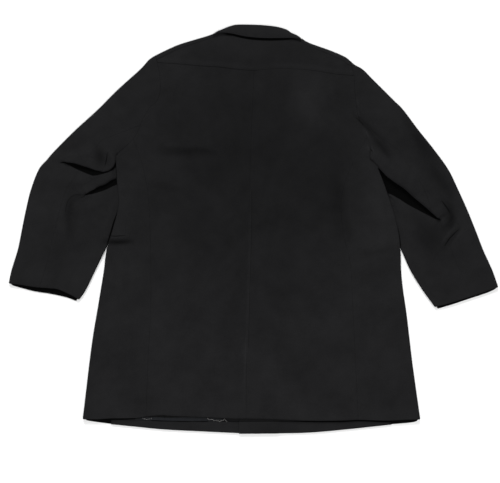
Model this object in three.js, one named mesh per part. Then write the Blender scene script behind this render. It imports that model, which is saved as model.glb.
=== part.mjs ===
// A man's single-breasted wool overcoat of car-coat length, laid out flat on its front.
//
// Millimetres. +X points to the wearer's right, +Y from the hem to the collar, and +Z up from
// the surface the coat lies on. The fronts and the under halves of the sleeves lie on that
// surface, the back lies over them, and the body lies over the inner edge of each sleeve.
//
// Every piece is a wall of cloth. Its plan is a grid filled in between its seam lines, and a
// height function for its layer lifts the grid. Folded edges join the upper and lower layers.

import * as THREE from 'three';

// ---------- driving sizes ----------

const WALL = 2.2; // melton cloth with its backing
const LINING_WALL = 1;
const SEAM = 0.3; // space between two sewn pieces
const REST_LEVEL = WALL / 2; // middle of a layer that lies on the surface
const BACK_LEVEL = 7; // middle of the back and of the sleeves' upper layers
const TUCK_LEVEL = 3.9; // middle of a sleeve's upper layer where the body lies on it
const BODY_LIFT = 6; // how far the body's lower layer is lifted by the sleeve below it
const BACK_LIFT = 4.4; // how far the back is lifted there
const TUCK_REACH = 25; // the sleeve sinks to TUCK_LEVEL over this distance
const BODY_HOLD = 14; // the body's lower layer stays lifted this far past the sleeve
const BODY_REACH = 50; // and comes down to the surface over this distance
const BACK_REACH = 65;
const LOWEST_UPPER_LAYER = REST_LEVEL + WALL + SEAM;
const LOWEST_BACK = 6.2; // the back stays clear of the two fronts where they overlap

const FLY_LIFT = WALL + SEAM; // how far the right front is lifted by the left one
const FLY_HOLD = 30; // the right front stays lifted this far past the left one's edge
const FLY_REACH = 14;
const SHOULDER_SEAM_AT_TIP = 8; // the shoulder seam lies just behind the folded shoulder
const SHOULDER_SEAM_AT_NECK = 4;

const COLLAR_ROLL = 1.6; // radius of the collar's roll, at the middle of the wall
const COLLAR_EDGE_LEVEL = 9.7; // middle of the collar's free edge, resting on the yoke
const LINING_LEVEL = 4;

const BELL_ENDS = 0.35; // height of a soft fold at its two ends, as a share of its full height
const BELL_SWELL = 0.7; // how soon it reaches its full height between them: lower is sooner

const FOLD_STEPS = 4; // flats round a folded edge
const HEM_ROWS = 14; // grid rows between the underarm and the hem
const HEM_PACE = 1.25; // above 1, those rows lie closer together near the underarm
const BACK_COLUMNS = 8;
const ARMHOLE_COLUMNS = 6; // along the back panel's share of the armhole
const SIDE_COLUMNS = 4; // side panel, upper layer
const UNDER_COLUMNS = 3; // side panel, lower layer
const ARMHOLE_FRONT_ROWS = 4;
const SHOULDER_COLUMNS = 4;
const YOKE_ROWS = 3;
const NECK_COLUMNS = 8;
const FALL_ROWS = 3; // the collar's fall, from its free edge to the roll
const STAND_ROWS = 2; // the collar's stand, and each of its front ends
const LINING_COLUMNS = 12;
const LINING_ROWS = 2;
const CURVE_DIVISIONS = 400; // how finely a seam line is measured
const NEAR_FOLD = 2 * WALL; // a fold's radius is measured this far inside its outline
const SLOPE_STEP = 0.5;

// ---------- outlines and seams, x and y in mm ----------

const LEFT = {
  shoulder: [[-241, 424], [-217, 436], [-183, 451], [-141, 464], [-111, 473], [-92, 480]],
  sleeveOuter: [
    [-241, 424], [-256, 414], [-278, 390], [-332, 341], [-381, 292], [-435, 243], [-484, 194],
    [-506, 169], [-526, 145], [-545, 96], [-557, 47], [-567, -2], [-577, -51], [-592, -100],
    [-599, -129],
  ],
  sleeveInner: [
    [-303, 132], [-320, 88], [-326, 50], [-344, -7], [-364, -51], [-386, -100], [-410, -149],
    [-429, -170],
  ],
  upperCuff: [[-599, -129], [-572, -135], [-535, -142], [-499, -145], [-474, -149], [-429, -168]],
  lowerCuff: [[-598, -133], [-572, -141], [-535, -151], [-499, -156], [-462, -164], [-429, -173]],
  armholeYoke: [[-241, 424], [-235, 407]],
  armholeBack: [
    [-235, 407], [-227, 353], [-234, 316], [-254, 296], [-271, 267], [-283, 238], [-293, 221],
  ],
  armholeSide: [[-293, 221], [-315, 198], [-337, 179]],
  armholeUnder: [[-337, 179], [-325, 152], [-303, 132]],
  armholeFront: [[-235, 407], [-229, 365], [-236, 316], [-263, 267], [-285, 218], [-303, 132]],
  guideBack: [[-379, 280], [-368, 205]],
  guideSide: [[-368, 205], [-363, 168]],
  guideUnder: [[-363, 168], [-350, 128], [-320, 88]],
  sideEdge: [
    [-337, 179], [-334, 120], [-330, 59], [-344, 0], [-359, -51], [-366, -100], [-374, -149],
    [-383, -203], [-393, -262], [-401, -321], [-408, -380], [-418, -461],
  ],
  sideBackSeam: [[-293, 221], [-266, 132], [-254, 34], [-251, -174], [-258, -321], [-263, -459]],
  sideFrontSeam: [[-303, 132], [-293, -2], [-310, -174], [-332, -321], [-349, -477]],
  sideBackHem: [[-263, -459], [-290, -464], [-352, -466], [-383, -468], [-418, -461]],
  backHem: [[-18, -466], [-53, -466], [-121, -463], [-192, -462], [-227, -458], [-263, -459]],
  sideFrontHem: [[-418, -461], [-401, -470], [-349, -477]],
  frontHem: [[-349, -477], [-290, -483], [-217, -490], [-119, -495], [-9, -500], [26, -500]],
  neckline: [[-92, 480], [-77, 443], [-38, 414], [9, 402], [39, 401]],
  standEdge: [[-66, 474], [-52, 452], [-25, 434], [-4, 430]],
  yokeSeam: [[1, 387], [-45, 391], [-82, 396], [-131, 399], [-185, 404], [-235, 407]],
  tuckEnd: 4, // the point of sideEdge where the sleeve comes out from under the body
  tuckedInner: 5, // how many points of sleeveInner are under the body
};

const RIGHT = {
  shoulder: [[239, 409], [224, 421], [190, 436], [148, 451], [131, 458], [119, 466]],
  sleeveOuter: [
    [239, 409], [249, 401], [268, 390], [293, 365], [342, 316], [366, 292], [403, 243],
    [442, 194], [477, 145], [501, 96], [523, 47], [543, -2], [562, -51], [584, -100], [599, -142],
  ],
  sleeveInner: [
    [276, 105], [293, 70], [308, 42], [337, -7], [361, -51], [383, -100], [413, -149],
    [447, -190],
  ],
  upperCuff: [[599, -142], [570, -152], [526, -167], [481, -181], [447, -190]],
  lowerCuff: [[598, -145], [570, -156], [526, -170], [481, -185], [447, -194]],
  armholeYoke: [[239, 409], [246, 375]],
  armholeBack: [[246, 375], [249, 328], [256, 274], [268, 252], [278, 225]],
  armholeSide: [[278, 225], [288, 198], [303, 152]],
  armholeUnder: [[303, 152], [290, 125], [276, 105]],
  armholeFront: [[246, 375], [244, 340], [246, 292], [258, 243], [268, 194], [276, 105]],
  guideBack: [[375, 268], [352, 175]],
  guideSide: [[352, 175], [343, 128]],
  guideUnder: [[343, 128], [325, 92], [293, 70]],
  sideEdge: [
    [303, 152], [322, 102], [342, 42], [354, -7], [359, -51], [361, -100], [366, -149],
    [374, -203], [381, -262], [388, -321], [396, -380], [408, -461],
  ],
  sideBackSeam: [
    [278, 225], [241, 157], [216, 83], [218, -2], [236, -81], [242, -174], [249, -321],
    [256, -470],
  ],
  sideFrontSeam: [[276, 105], [285, -27], [300, -174], [320, -321], [337, -478]],
  sideBackHem: [[256, -470], [322, -473], [371, -469], [408, -461]],
  backHem: [[-18, -466], [65, -470], [138, -473], [212, -473], [256, -470]],
  sideFrontHem: [[408, -461], [391, -473], [337, -478]],
  frontHem: [[337, -478], [224, -490], [126, -498], [-9, -500], [-36, -500]],
  neckline: [[119, 466], [104, 434], [65, 409], [9, 402], [-21, 402]],
  standEdge: [[92, 464], [79, 446], [51, 432], [23, 429]],
  yokeSeam: [[1, 387], [53, 392], [104, 391], [151, 387], [200, 379], [246, 375]],
  tuckEnd: 4,
  tuckedInner: 5,
};

const CENTRE_BACK = [[1, 387], [-4, 267], [-9, 120], [-11, -76], [-16, -247], [-18, -466]];
const NECK_SEAM = [[-88, 472], [-45, 473], [4, 472], [65, 470], [116, 458]];
const COLLAR_ROLL_LINE = [
  [-88, 483], [-75, 488], [-58, 495], [-38, 499.5], [4, 499.5], [53, 495], [80, 488], [92, 480],
  [107, 473], [117, 466],
];
const COLLAR_EDGE = [
  [-83, 476], [-66, 476], [-43, 471], [-19, 467], [6, 465], [41, 464], [77, 463], [112, 460],
];
const LINING_TOP = [[-290, -420], [-180, -418], [-70, -420]];
const LINING_EDGE = [[-290, -467], [-235, -470], [-150, -471], [-70, -468]];

// ---------- the largest folds ----------
// Each follows a line in plan. Heights above zero are ridges, below zero are troughs.

const FOLDS = [
  {
    at: 'left sleeve, above the upper crease', width: 15, height: 4,
    line: [[-503, 174], [-425, 176], [-352, 189]],
  },
  {
    at: 'left sleeve, upper crease', width: 10, height: -4.5,
    line: [[-508, 152], [-425, 152], [-383, 135], [-337, 162]],
  },
  {
    at: 'left sleeve, between the creases', width: 16, height: 5,
    line: [[-486, 118], [-413, 118], [-347, 142]],
  },
  {
    at: 'left sleeve, lower crease', width: 10, height: -4.5,
    line: [[-445, 78], [-401, 86], [-366, 106], [-333, 120]],
  },
  {
    at: 'left sleeve, below the lower crease', width: 17, height: 4.5,
    line: [[-459, 47], [-396, 56], [-344, 91]],
  },
  {
    at: 'left forearm', width: 26, height: 3,
    line: [[-450, 34], [-479, -27], [-499, -105]],
  },
  {
    at: 'left sleeve head', width: 34, height: 3,
    line: [[-300, 360], [-352, 290], [-400, 235]],
  },
  {
    at: 'right sleeve, over the opening fold', width: 17, height: 8,
    line: [[310, 180], [364, 143], [418, 98], [481, 40]],
  },
  {
    at: 'right sleeve, the opening fold', width: 13, height: -6,
    line: [[312, 118], [354, 93], [408, 54], [467, 17]],
  },
  {
    at: 'right sleeve, below the opening fold', width: 16, height: 3.5,
    line: [[347, 50], [393, 33], [442, 3]],
  },
  {
    at: 'right sleeve, from the armhole', width: 10, height: -4,
    line: [[251, 277], [276, 250], [305, 218], [337, 179]],
  },
  {
    at: 'right sleeve, beside that crease', width: 15, height: 3.5,
    line: [[276, 287], [312, 245], [354, 201]],
  },
  {
    at: 'right sleeve, outer crease', width: 9, height: -3.5,
    line: [[457, 69], [486, 49], [496, 27], [472, 0]],
  },
  {
    at: 'right sleeve, lower crease', width: 9, height: -3,
    line: [[474, -47], [491, -22], [508, 5]],
  },
  {
    at: 'right upper sleeve', width: 34, height: 3.5,
    line: [[339, 272], [398, 194], [442, 105]],
  },
  {
    at: 'left shoulder blade, upper', width: 16, height: 2.5,
    line: [[-234, 213], [-175, 206], [-116, 196]],
  },
  {
    at: 'left shoulder blade, lower', width: 18, height: 3,
    line: [[-205, 164], [-156, 159], [-111, 154]],
  },
  {
    at: 'right side', width: 34, height: 5.5,
    line: [[261, 157], [290, 59], [285, -64]],
  },
  {
    at: 'left side, short ridge', width: 10, height: 2.5,
    line: [[-358, -15], [-307, -15]],
  },
  {
    at: 'left side', width: 26, height: 3,
    line: [[-283, 108], [-300, -15], [-325, -149]],
  },
];

// ---------- plan geometry ----------

const TOWARDS_HEM = new THREE.Vector2(0, -1);
const point = ([x, y]) => new THREE.Vector2(x, y);
const pair = ({ x, y }) => [x, y];
const between = (a, b, share) => a.clone().lerp(b, share);

// Points along a smooth curve through a table of points, at shares of its own length.
function pointsAlong(table, places) {
  if (table.length === 2) {
    return places.map((share) => between(point(table[0]), point(table[1]), share));
  }
  const curve = new THREE.SplineCurve(table.map(point));
  curve.arcLengthDivisions = CURVE_DIVISIONS;
  return places.map((share) => curve.getPointAt(share));
}

// The same, evenly spaced, or closer together at the start where the pace is above 1.
function sample(table, steps, pace = 1) {
  const places = Array.from({ length: steps + 1 }, (_, k) => (k / steps) ** pace);
  return pointsAlong(table, places);
}

// Joins runs of points end to end, leaving out each repeated joint.
const chain = (...runs) => runs.flatMap((run, k) => (k === 0 ? run : run.slice(1)));

// How far along a run each of its points lies, from 0 to 1.
function shares(run) {
  const lengths = [0];
  for (let k = 1; k < run.length; k += 1) {
    lengths.push(lengths[k - 1] + run[k].distanceTo(run[k - 1]));
  }
  return lengths.map((length) => length / lengths[lengths.length - 1]);
}

// Fills four edge runs with a grid of rows: top and bottom run along the columns.
function fillPlan(top, bottom, start, end) {
  const across = shares(top).map((share, c) => (share + shares(bottom)[c]) / 2);
  const down = shares(start).map((share, r) => (share + shares(end)[r]) / 2);
  const last = top.length - 1;
  const foot = start.length - 1;
  return start.map((_, r) => top.map((__, c) => {
    if (r === 0) return top[c].clone();
    if (r === foot) return bottom[c].clone();
    if (c === 0) return start[r].clone();
    if (c === last) return end[r].clone();
    const u = across[c];
    const v = down[r];
    const blend = (axis) => (1 - v) * top[c][axis] + v * bottom[c][axis]
      + (1 - u) * start[r][axis] + u * end[r][axis]
      - (1 - v) * ((1 - u) * top[0][axis] + u * top[last][axis])
      - v * ((1 - u) * bottom[0][axis] + u * bottom[last][axis]);
    return new THREE.Vector2(blend('x'), blend('y'));
  }));
}

// Direction square to a run at one of its points, turned to the side of a point beside it.
function squareTo(run, k, beside) {
  const before = run[Math.max(k - 1, 0)];
  const after = run[Math.min(k + 1, run.length - 1)];
  const along = after.clone().sub(before).normalize();
  const square = new THREE.Vector2(-along.y, along.x);
  return square.dot(beside.clone().sub(run[k])) < 0 ? square.negate() : square;
}

// Draws the named edges of a plan grid back, by half a seam where both pieces are drawn back.
function leaveSeams(plan, edges, back = SEAM / 2) {
  const foot = plan.length - 1;
  const last = plan[0].length - 1;
  const columnOf = (c) => plan.map((row) => row[c]);
  const runs = {
    top: [plan[0], plan[1]],
    bottom: [plan[foot], plan[foot - 1]],
    start: [columnOf(0), columnOf(1)],
    end: [columnOf(last), columnOf(last - 1)],
  };
  const shifts = edges.flatMap((edge) => {
    const [run, inside] = runs[edge];
    return run.map((at, k) => [at, squareTo(run, k, inside[k]).multiplyScalar(back)]);
  });
  shifts.forEach(([at, shift]) => {
    at.add(shift);
    at.onSeam = true;
  });
  return plan;
}

const copyOf = (run) => run.map((at) => at.clone());
const columnsOf = (plan, from, to) => plan.map((row) => copyOf(row.slice(from, to + 1)));

// A grid of straight rows between two runs.
const spread = (from, to, rows) => Array.from({ length: rows + 1 }, (_, r) => (
  from.map((at, c) => between(at, to[c], r / rows))
));

// The nearest place on a run of points: its step, its share of that step, and how far away it is.
function nearestOn(run, at) {
  let nearest = { distance: Infinity };
  for (let k = 1; k < run.length; k += 1) {
    const along = run[k].clone().sub(run[k - 1]);
    const past = at.clone().sub(run[k - 1]).dot(along) / along.lengthSq();
    const share = THREE.MathUtils.clamp(past, 0, 1);
    const distance = at.distanceTo(between(run[k - 1], run[k], share));
    if (distance < nearest.distance) nearest = { distance, step: k, share };
  }
  return nearest;
}

function isInside(ring, at) {
  let inside = false;
  ring.forEach((a, k) => {
    const b = ring[(k + 1) % ring.length];
    const crosses = (a.y > at.y) !== (b.y > at.y);
    if (crosses && at.x < a.x + ((b.x - a.x) * (at.y - a.y)) / (b.y - a.y)) inside = !inside;
  });
  return inside;
}

// ---------- heights ----------

const fade = (distance, reach) => 1 - THREE.MathUtils.smoothstep(distance, 0, reach);

// Height of one fold at a plan point: a soft bell across its line, tapered to both ends.
function foldHeight(fold, at) {
  const { distance, step, share } = nearestOn(fold.run, at);
  const place = THREE.MathUtils.lerp(fold.shares[step - 1], fold.shares[step], share);
  const taper = THREE.MathUtils.lerp(BELL_ENDS, 1, Math.sin(Math.PI * place) ** BELL_SWELL);
  return fold.height * taper * Math.exp(-((distance / fold.width) ** 2));
}

const folds = FOLDS.map((fold) => {
  const run = sample(fold.line, 3 * (fold.line.length - 1));
  return { ...fold, run, shares: shares(run) };
});

const draped = (at) => BACK_LEVEL + folds.reduce((sum, fold) => sum + foldHeight(fold, at), 0);

// Where the body lies over a sleeve: the strip between the side edge and the sleeve's inner edge.
function tuckedStrip(side) {
  const edge = side.sideEdge.slice(0, side.tuckEnd + 1).map(point);
  const inner = side.sleeveInner.slice(0, side.tuckedInner).map(point);
  return [...edge, ...inner.reverse()];
}

const tucks = [tuckedStrip(LEFT), tuckedStrip(RIGHT)];

function awayFromTuck(at) {
  if (tucks.some((strip) => isInside(strip, at))) return 0;
  return Math.min(...tucks.map((strip) => nearestOn([...strip, strip[0]], at).distance));
}

const sleeveUpper = (at) => {
  const level = THREE.MathUtils.lerp(draped(at), TUCK_LEVEL, fade(awayFromTuck(at), TUCK_REACH));
  return Math.max(level, LOWEST_UPPER_LAYER);
};

const bodyUpper = (at) => {
  const level = draped(at) + BACK_LIFT * fade(awayFromTuck(at), BACK_REACH);
  return Math.max(level, LOWEST_BACK);
};

const sleeveLower = () => REST_LEVEL;

const bodyLower = (at) => {
  const past = Math.max(awayFromTuck(at) - BODY_HOLD, 0);
  return REST_LEVEL + BODY_LIFT * fade(past, BODY_REACH);
};

const FLY_TOP = LEFT.neckline.at(-1);
const FLY_FOOT = LEFT.frontHem.at(-1);
const leftFrontEdge = (y) => THREE.MathUtils.mapLinear(y, FLY_TOP[1], FLY_FOOT[1], FLY_TOP[0], FLY_FOOT[0]);

const rightFrontLower = (at) => {
  const past = Math.max(at.x - leftFrontEdge(at.y) - FLY_HOLD, 0);
  return Math.max(bodyLower(at), REST_LEVEL + FLY_LIFT * fade(past, FLY_REACH));
};

// ---------- cloth walls ----------

// Lifts a plan grid to a layer. Each vertex has its place and the direction of its outer face.
function layer(plan, heightAt, facing) {
  return plan.map((row) => row.map((at) => {
    const slope = (dx, dy) => {
      const ahead = heightAt(new THREE.Vector2(at.x + dx, at.y + dy));
      const behind = heightAt(new THREE.Vector2(at.x - dx, at.y - dy));
      return (ahead - behind) / (2 * SLOPE_STEP);
    };
    const upright = new THREE.Vector3(0, 0, 1);
    const tilted = new THREE.Vector3(-slope(SLOPE_STEP, 0), -slope(0, SLOPE_STEP), 1).normalize();
    const outward = at.onSeam ? upright : tilted;
    return { at: new THREE.Vector3(at.x, at.y, heightAt(at)), outward: outward.multiplyScalar(facing) };
  }));
}

// The vertices round a folded edge, between its upper and lower layers.
function roundEdge(upper, lower, away) {
  const radius = (upper.at.z - lower.at.z) / 2;
  return Array.from({ length: FOLD_STEPS - 1 }, (_, k) => {
    const turn = Math.PI * (0.5 - (k + 1) / FOLD_STEPS);
    const level = Math.cos(turn);
    const outward = new THREE.Vector3(away.x * level, away.y * level, Math.sin(turn));
    const centre = between(upper.at, lower.at, 0.5);
    return { at: centre.addScaledVector(outward, radius), outward };
  });
}

// Draws an outline back to where its fold begins to turn, so that the turned wall just reaches it.
function foldLine(edge, inside, heightAbove, heightBelow, firstAway = null) {
  return edge.map((at, k) => {
    const away = k === 0 && firstAway ? firstAway : squareTo(edge, k, inside[k]).negate();
    const near = at.clone().addScaledVector(away, -NEAR_FOLD);
    const radius = (heightAbove(near) - heightBelow(near)) / 2;
    return { at: at.clone().addScaledVector(away, -(radius + WALL / 2)), away };
  });
}

// Closes a grid of vertices into a wall. Grid places left empty are holes in it.
function clothWall(lattice, wall = WALL) {
  const rows = lattice.length;
  const columns = lattice[0].length;
  const positions = [];
  const places = [1, -1].map((side) => lattice.map((row) => row.map((vertex) => {
    if (!vertex) return null;
    const at = vertex.at.clone().addScaledVector(vertex.outward, (side * wall) / 2);
    positions.push(at.x, at.y, at.z);
    return positions.length / 3 - 1;
  })));
  const isCell = (r, c) => r >= 0 && c >= 0 && r < rows - 1 && c < columns - 1
    && [[r, c], [r + 1, c], [r, c + 1], [r + 1, c + 1]].every(([i, j]) => lattice[i][j]);
  const cells = [];
  for (let r = 0; r < rows - 1; r += 1) {
    for (let c = 0; c < columns - 1; c += 1) {
      if (isCell(r, c)) cells.push([r, c]);
    }
  }
  const facing = cells.reduce((sum, [r, c]) => {
    const corner = lattice[r][c];
    const alongRow = lattice[r][c + 1].at.clone().sub(corner.at);
    const downColumn = lattice[r + 1][c].at.clone().sub(corner.at);
    return sum + alongRow.cross(downColumn).dot(corner.outward);
  }, 0);
  const turned = facing < 0;
  const faces = [];
  const quad = (a, b, c, d) => {
    const order = turned ? [a, d, c, b] : [a, b, c, d];
    faces.push(order[0], order[1], order[2], order[0], order[2], order[3]);
  };
  const [outer, inner] = places;
  cells.forEach(([r, c]) => {
    const ring = [[r, c], [r, c + 1], [r + 1, c + 1], [r + 1, c]];
    const [a, b, d, e] = ring.map(([i, j]) => lattice[i][j].at);
    const shift = a.distanceTo(d) <= b.distanceTo(e) ? 0 : 1;
    const from = (layerPlaces) => [0, 1, 2, 3].map((k) => ring[(k + shift) % 4])
      .map(([i, j]) => layerPlaces[i][j]);
    const [o1, o2, o3, o4] = from(outer);
    const [i1, i2, i3, i4] = from(inner);
    quad(o1, o2, o3, o4);
    // The inner face is split along the same diagonal as the outer one.
    const split = turned ? [i1, i2, i3, i1, i3, i4] : [i1, i3, i2, i1, i4, i3];
    faces.push(...split);
    const neighbours = [[r - 1, c], [r, c + 1], [r + 1, c], [r, c - 1]];
    neighbours.forEach(([i, j], k) => {
      if (isCell(i, j)) return;
      const [fromR, fromC] = ring[k];
      const [toR, toC] = ring[(k + 1) % 4];
      quad(outer[toR][toC], outer[fromR][fromC], inner[fromR][fromC], inner[toR][toC]);
    });
  });
  const geometry = new THREE.BufferGeometry();
  geometry.setAttribute('position', new THREE.Float32BufferAttribute(positions, 3));
  geometry.setIndex(faces);
  geometry.computeVertexNormals();
  return geometry;
}

// ---------- the shared seam runs of each side ----------

function seamRuns(side) {
  const armholeAway = point(side.armholeYoke[0]).sub(point(side.armholeYoke[1])).normalize();
  const runs = {
    armholeAway,
    armholeBack: sample(side.armholeBack, ARMHOLE_COLUMNS),
    armholeSide: sample(side.armholeSide, SIDE_COLUMNS),
    armholeUnder: sample(side.armholeUnder, UNDER_COLUMNS),
    armholeFront: sample(side.armholeFront, ARMHOLE_FRONT_ROWS),
    sideBack: sample(side.sideBackSeam, HEM_ROWS, HEM_PACE),
    sideEdge: sample(side.sideEdge, HEM_ROWS, HEM_PACE),
    sideFront: sample(side.sideFrontSeam, HEM_ROWS, HEM_PACE),
    yokeSeam: sample(side.yokeSeam, BACK_COLUMNS),
    neckline: sample(side.neckline, SHOULDER_COLUMNS),
  };
  const shoulder = sample(side.shoulder, SHOULDER_COLUMNS);
  const below = shoulder.map((at) => at.clone().add(TOWARDS_HEM));
  runs.shoulderFold = foldLine(shoulder, below, bodyUpper, bodyLower, armholeAway);
  const neckPoint = point(side === LEFT ? NECK_SEAM[0] : NECK_SEAM.at(-1));
  runs.shoulderSeam = runs.shoulderFold.map(({ at, away }, k) => {
    if (k === SHOULDER_COLUMNS) return neckPoint;
    const share = k / SHOULDER_COLUMNS;
    const depth = THREE.MathUtils.lerp(SHOULDER_SEAM_AT_TIP, SHOULDER_SEAM_AT_NECK, share);
    return at.clone().addScaledVector(away, -depth);
  });
  return runs;
}

const seams = { left: seamRuns(LEFT), right: seamRuns(RIGHT) };
const sides = { left: LEFT, right: RIGHT };
const neckSeam = sample(NECK_SEAM, NECK_COLUMNS);

// ---------- body ----------

function backPanel(name) {
  const runs = seams[name];
  const outer = chain(runs.armholeBack, runs.sideBack);
  const centre = pointsAlong(CENTRE_BACK, shares(outer));
  const hem = sample(sides[name].backHem, BACK_COLUMNS);
  const plan = fillPlan(runs.yokeSeam, hem, centre, outer);
  return clothWall(layer(leaveSeams(plan, ['top', 'start', 'end']), bodyUpper, 1));
}

function sidePanel(name) {
  const runs = seams[name];
  const side = sides[name];
  const fold = foldLine(runs.sideEdge, runs.sideBack, bodyUpper, bodyLower);
  const foldAt = fold.map(({ at }) => at);
  const armhole = [...runs.armholeSide.slice(0, -1), foldAt[0]];
  const hem = sample(side.sideBackHem, SIDE_COLUMNS);
  hem[SIDE_COLUMNS] = foldAt[HEM_ROWS];
  const upper = leaveSeams(fillPlan(armhole, hem, runs.sideBack, foldAt), ['top', 'start']);
  const underarm = [foldAt[0], ...runs.armholeUnder.slice(1)];
  const lowerHem = sample(side.sideFrontHem, UNDER_COLUMNS);
  lowerHem[0] = foldAt[HEM_ROWS];
  const lower = leaveSeams(fillPlan(underarm, lowerHem, foldAt, runs.sideFront), ['top', 'end']);
  const above = layer(upper, bodyUpper, 1);
  const below = layer(lower, bodyLower, -1);
  return clothWall(above.map((row, r) => [
    ...row,
    ...roundEdge(row.at(-1), below[r][0], fold[r].away),
    ...below[r],
  ]));
}

function frontPanel(name) {
  const runs = seams[name];
  const side = sides[name];
  const heightBelow = name === 'left' ? bodyLower : rightFrontLower;
  const foldAt = runs.shoulderFold.map(({ at }) => at);
  const top = chain(foldAt, runs.neckline);
  const armhole = [foldAt[0], ...runs.armholeFront];
  const outer = chain(armhole, runs.sideFront);
  const hem = sample(side.frontHem, top.length - 1);
  const edge = shares(outer).map((share) => between(top.at(-1), hem.at(-1), share));
  const plan = leaveSeams(fillPlan(top, hem, outer, edge), ['start']);
  const below = layer(plan, heightBelow, -1);
  const seamPlan = leaveSeams([copyOf(runs.shoulderSeam), copyOf(foldAt)], ['top', 'start']);
  const above = layer(seamPlan, bodyUpper, 1);
  const empty = Array(top.length - 1 - SHOULDER_COLUMNS).fill(null);
  const rounds = runs.shoulderFold.map(({ away }, c) => roundEdge(above[1][c], below[0][c], away));
  const turned = Array.from({ length: FOLD_STEPS - 1 }, (_, k) => rounds.map((round) => round[k]));
  return clothWall([...[...above, ...turned].map((row) => [...row, ...empty]), ...below]);
}

function yoke() {
  const { left, right } = seams;
  const top = chain(left.shoulderSeam, neckSeam, [...right.shoulderSeam].reverse());
  const bottom = chain([...left.yokeSeam].reverse(), right.yokeSeam);
  const end = (run) => sample([run.shoulderSeam[0], run.armholeBack[0]].map(pair), YOKE_ROWS);
  const plan = fillPlan(top, bottom, end(left), end(right));
  return clothWall(layer(leaveSeams(plan, ['top', 'bottom', 'start', 'end']), bodyUpper, 1));
}

// ---------- sleeves ----------

// Row positions along a sleeve: close together where it is creased.
const SLEEVE_ROWS = [
  { rows: 4, outer: 0.28, inner: 0.1 },
  { rows: 16, outer: 0.7, inner: 0.5 },
  { rows: 5, outer: 1, inner: 1 },
];
const ARMHOLE_ROWS = SLEEVE_ROWS[0].rows; // these rows turn from the armhole's curve to straight
const HINDARM_COLUMN = 6; // the seam on the upper side
const FOREARM_COLUMN = 2; // the seam on the lower side

function sleeveEdge(table, which) {
  const places = [0];
  SLEEVE_ROWS.forEach((band) => {
    const from = places.at(-1);
    for (let k = 1; k <= band.rows; k += 1) {
      places.push(THREE.MathUtils.lerp(from, band[which], k / band.rows));
    }
  });
  return pointsAlong(table, places);
}

function sleeve(name) {
  const runs = seams[name];
  const side = sides[name];
  const outer = sleeveEdge(side.sleeveOuter, 'outer');
  const inner = sleeveEdge(side.sleeveInner, 'inner');
  const outerFold = foldLine(outer, inner, sleeveUpper, sleeveLower, runs.armholeAway);
  const innerFold = foldLine(inner, outer, sleeveUpper, sleeveLower);
  const outerAt = outerFold.map(({ at }) => at);
  const innerAt = innerFold.map(({ at }) => at);
  outerAt[0] = runs.shoulderFold[0].at;
  const foot = outer.length - 1;

  const withEnds = (run, first, final) => [first, ...run.slice(1, -1), final];
  const armhole = chain(
    [outerAt[0], runs.armholeBack[0]], runs.armholeBack, runs.armholeSide, runs.armholeUnder);
  const upperTop = withEnds(armhole, outerAt[0], innerAt[0]);
  const guide = chain(
    [outerAt[ARMHOLE_ROWS], point(side.guideBack[0])], sample(side.guideBack, ARMHOLE_COLUMNS),
    sample(side.guideSide, SIDE_COLUMNS), sample(side.guideUnder, UNDER_COLUMNS));
  const upperGuide = withEnds(guide, outerAt[ARMHOLE_ROWS], innerAt[ARMHOLE_ROWS]);
  const lastUpper = armhole.length - 1;
  const upperCuff = withEnds(sample(side.upperCuff, lastUpper), outerAt[foot], innerAt[foot]);
  const fillRows = (head, tail, from, to) => (
    fillPlan(head, tail, outerAt.slice(from, to + 1), innerAt.slice(from, to + 1)));
  const upperPlan = chain(
    fillRows(upperTop, upperGuide, 0, ARMHOLE_ROWS), fillRows(upperGuide, upperCuff, ARMHOLE_ROWS, foot));

  const frontRun = chain([outerAt[0], runs.armholeFront[0]], runs.armholeFront);
  const lowerTop = withEnds(frontRun, outerAt[0], innerAt[0]);
  const lastLower = lowerTop.length - 1;
  const cuffRun = sample(side.lowerCuff, lastLower);
  const cuffCorner = (above, at) => new THREE.Vector2(above.x, at.y);
  const lowerCuff = withEnds(
    cuffRun, cuffCorner(outerAt[foot], cuffRun[0]), cuffCorner(innerAt[foot], cuffRun[lastLower]));
  const lowerPlan = fillRows(lowerTop, lowerCuff, 0, foot);

  const upperPart = (from, to, seamEdge) => layer(
    leaveSeams(columnsOf(upperPlan, from, to), ['top', seamEdge]), sleeveUpper, 1);
  const lowerPart = (from, to, seamEdge) => layer(
    leaveSeams(columnsOf(lowerPlan, from, to), ['top', seamEdge]), sleeveLower, -1);
  const topUpper = upperPart(0, HINDARM_COLUMN, 'end');
  const topLower = lowerPart(0, FOREARM_COLUMN, 'end');
  const underUpper = upperPart(HINDARM_COLUMN, lastUpper, 'start');
  const underLower = lowerPart(FOREARM_COLUMN, lastLower, 'start');

  const topSleeve = topUpper.map((row, r) => [
    ...[...row].reverse(),
    ...roundEdge(row[0], topLower[r][0], outerFold[r].away),
    ...topLower[r],
  ]);
  const underSleeve = underUpper.map((row, r) => [
    ...row,
    ...roundEdge(row.at(-1), underLower[r].at(-1), innerFold[r].away),
    ...[...underLower[r]].reverse(),
  ]);
  return { top: clothWall(topSleeve), under: clothWall(underSleeve) };
}

// ---------- collar and lining ----------

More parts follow.
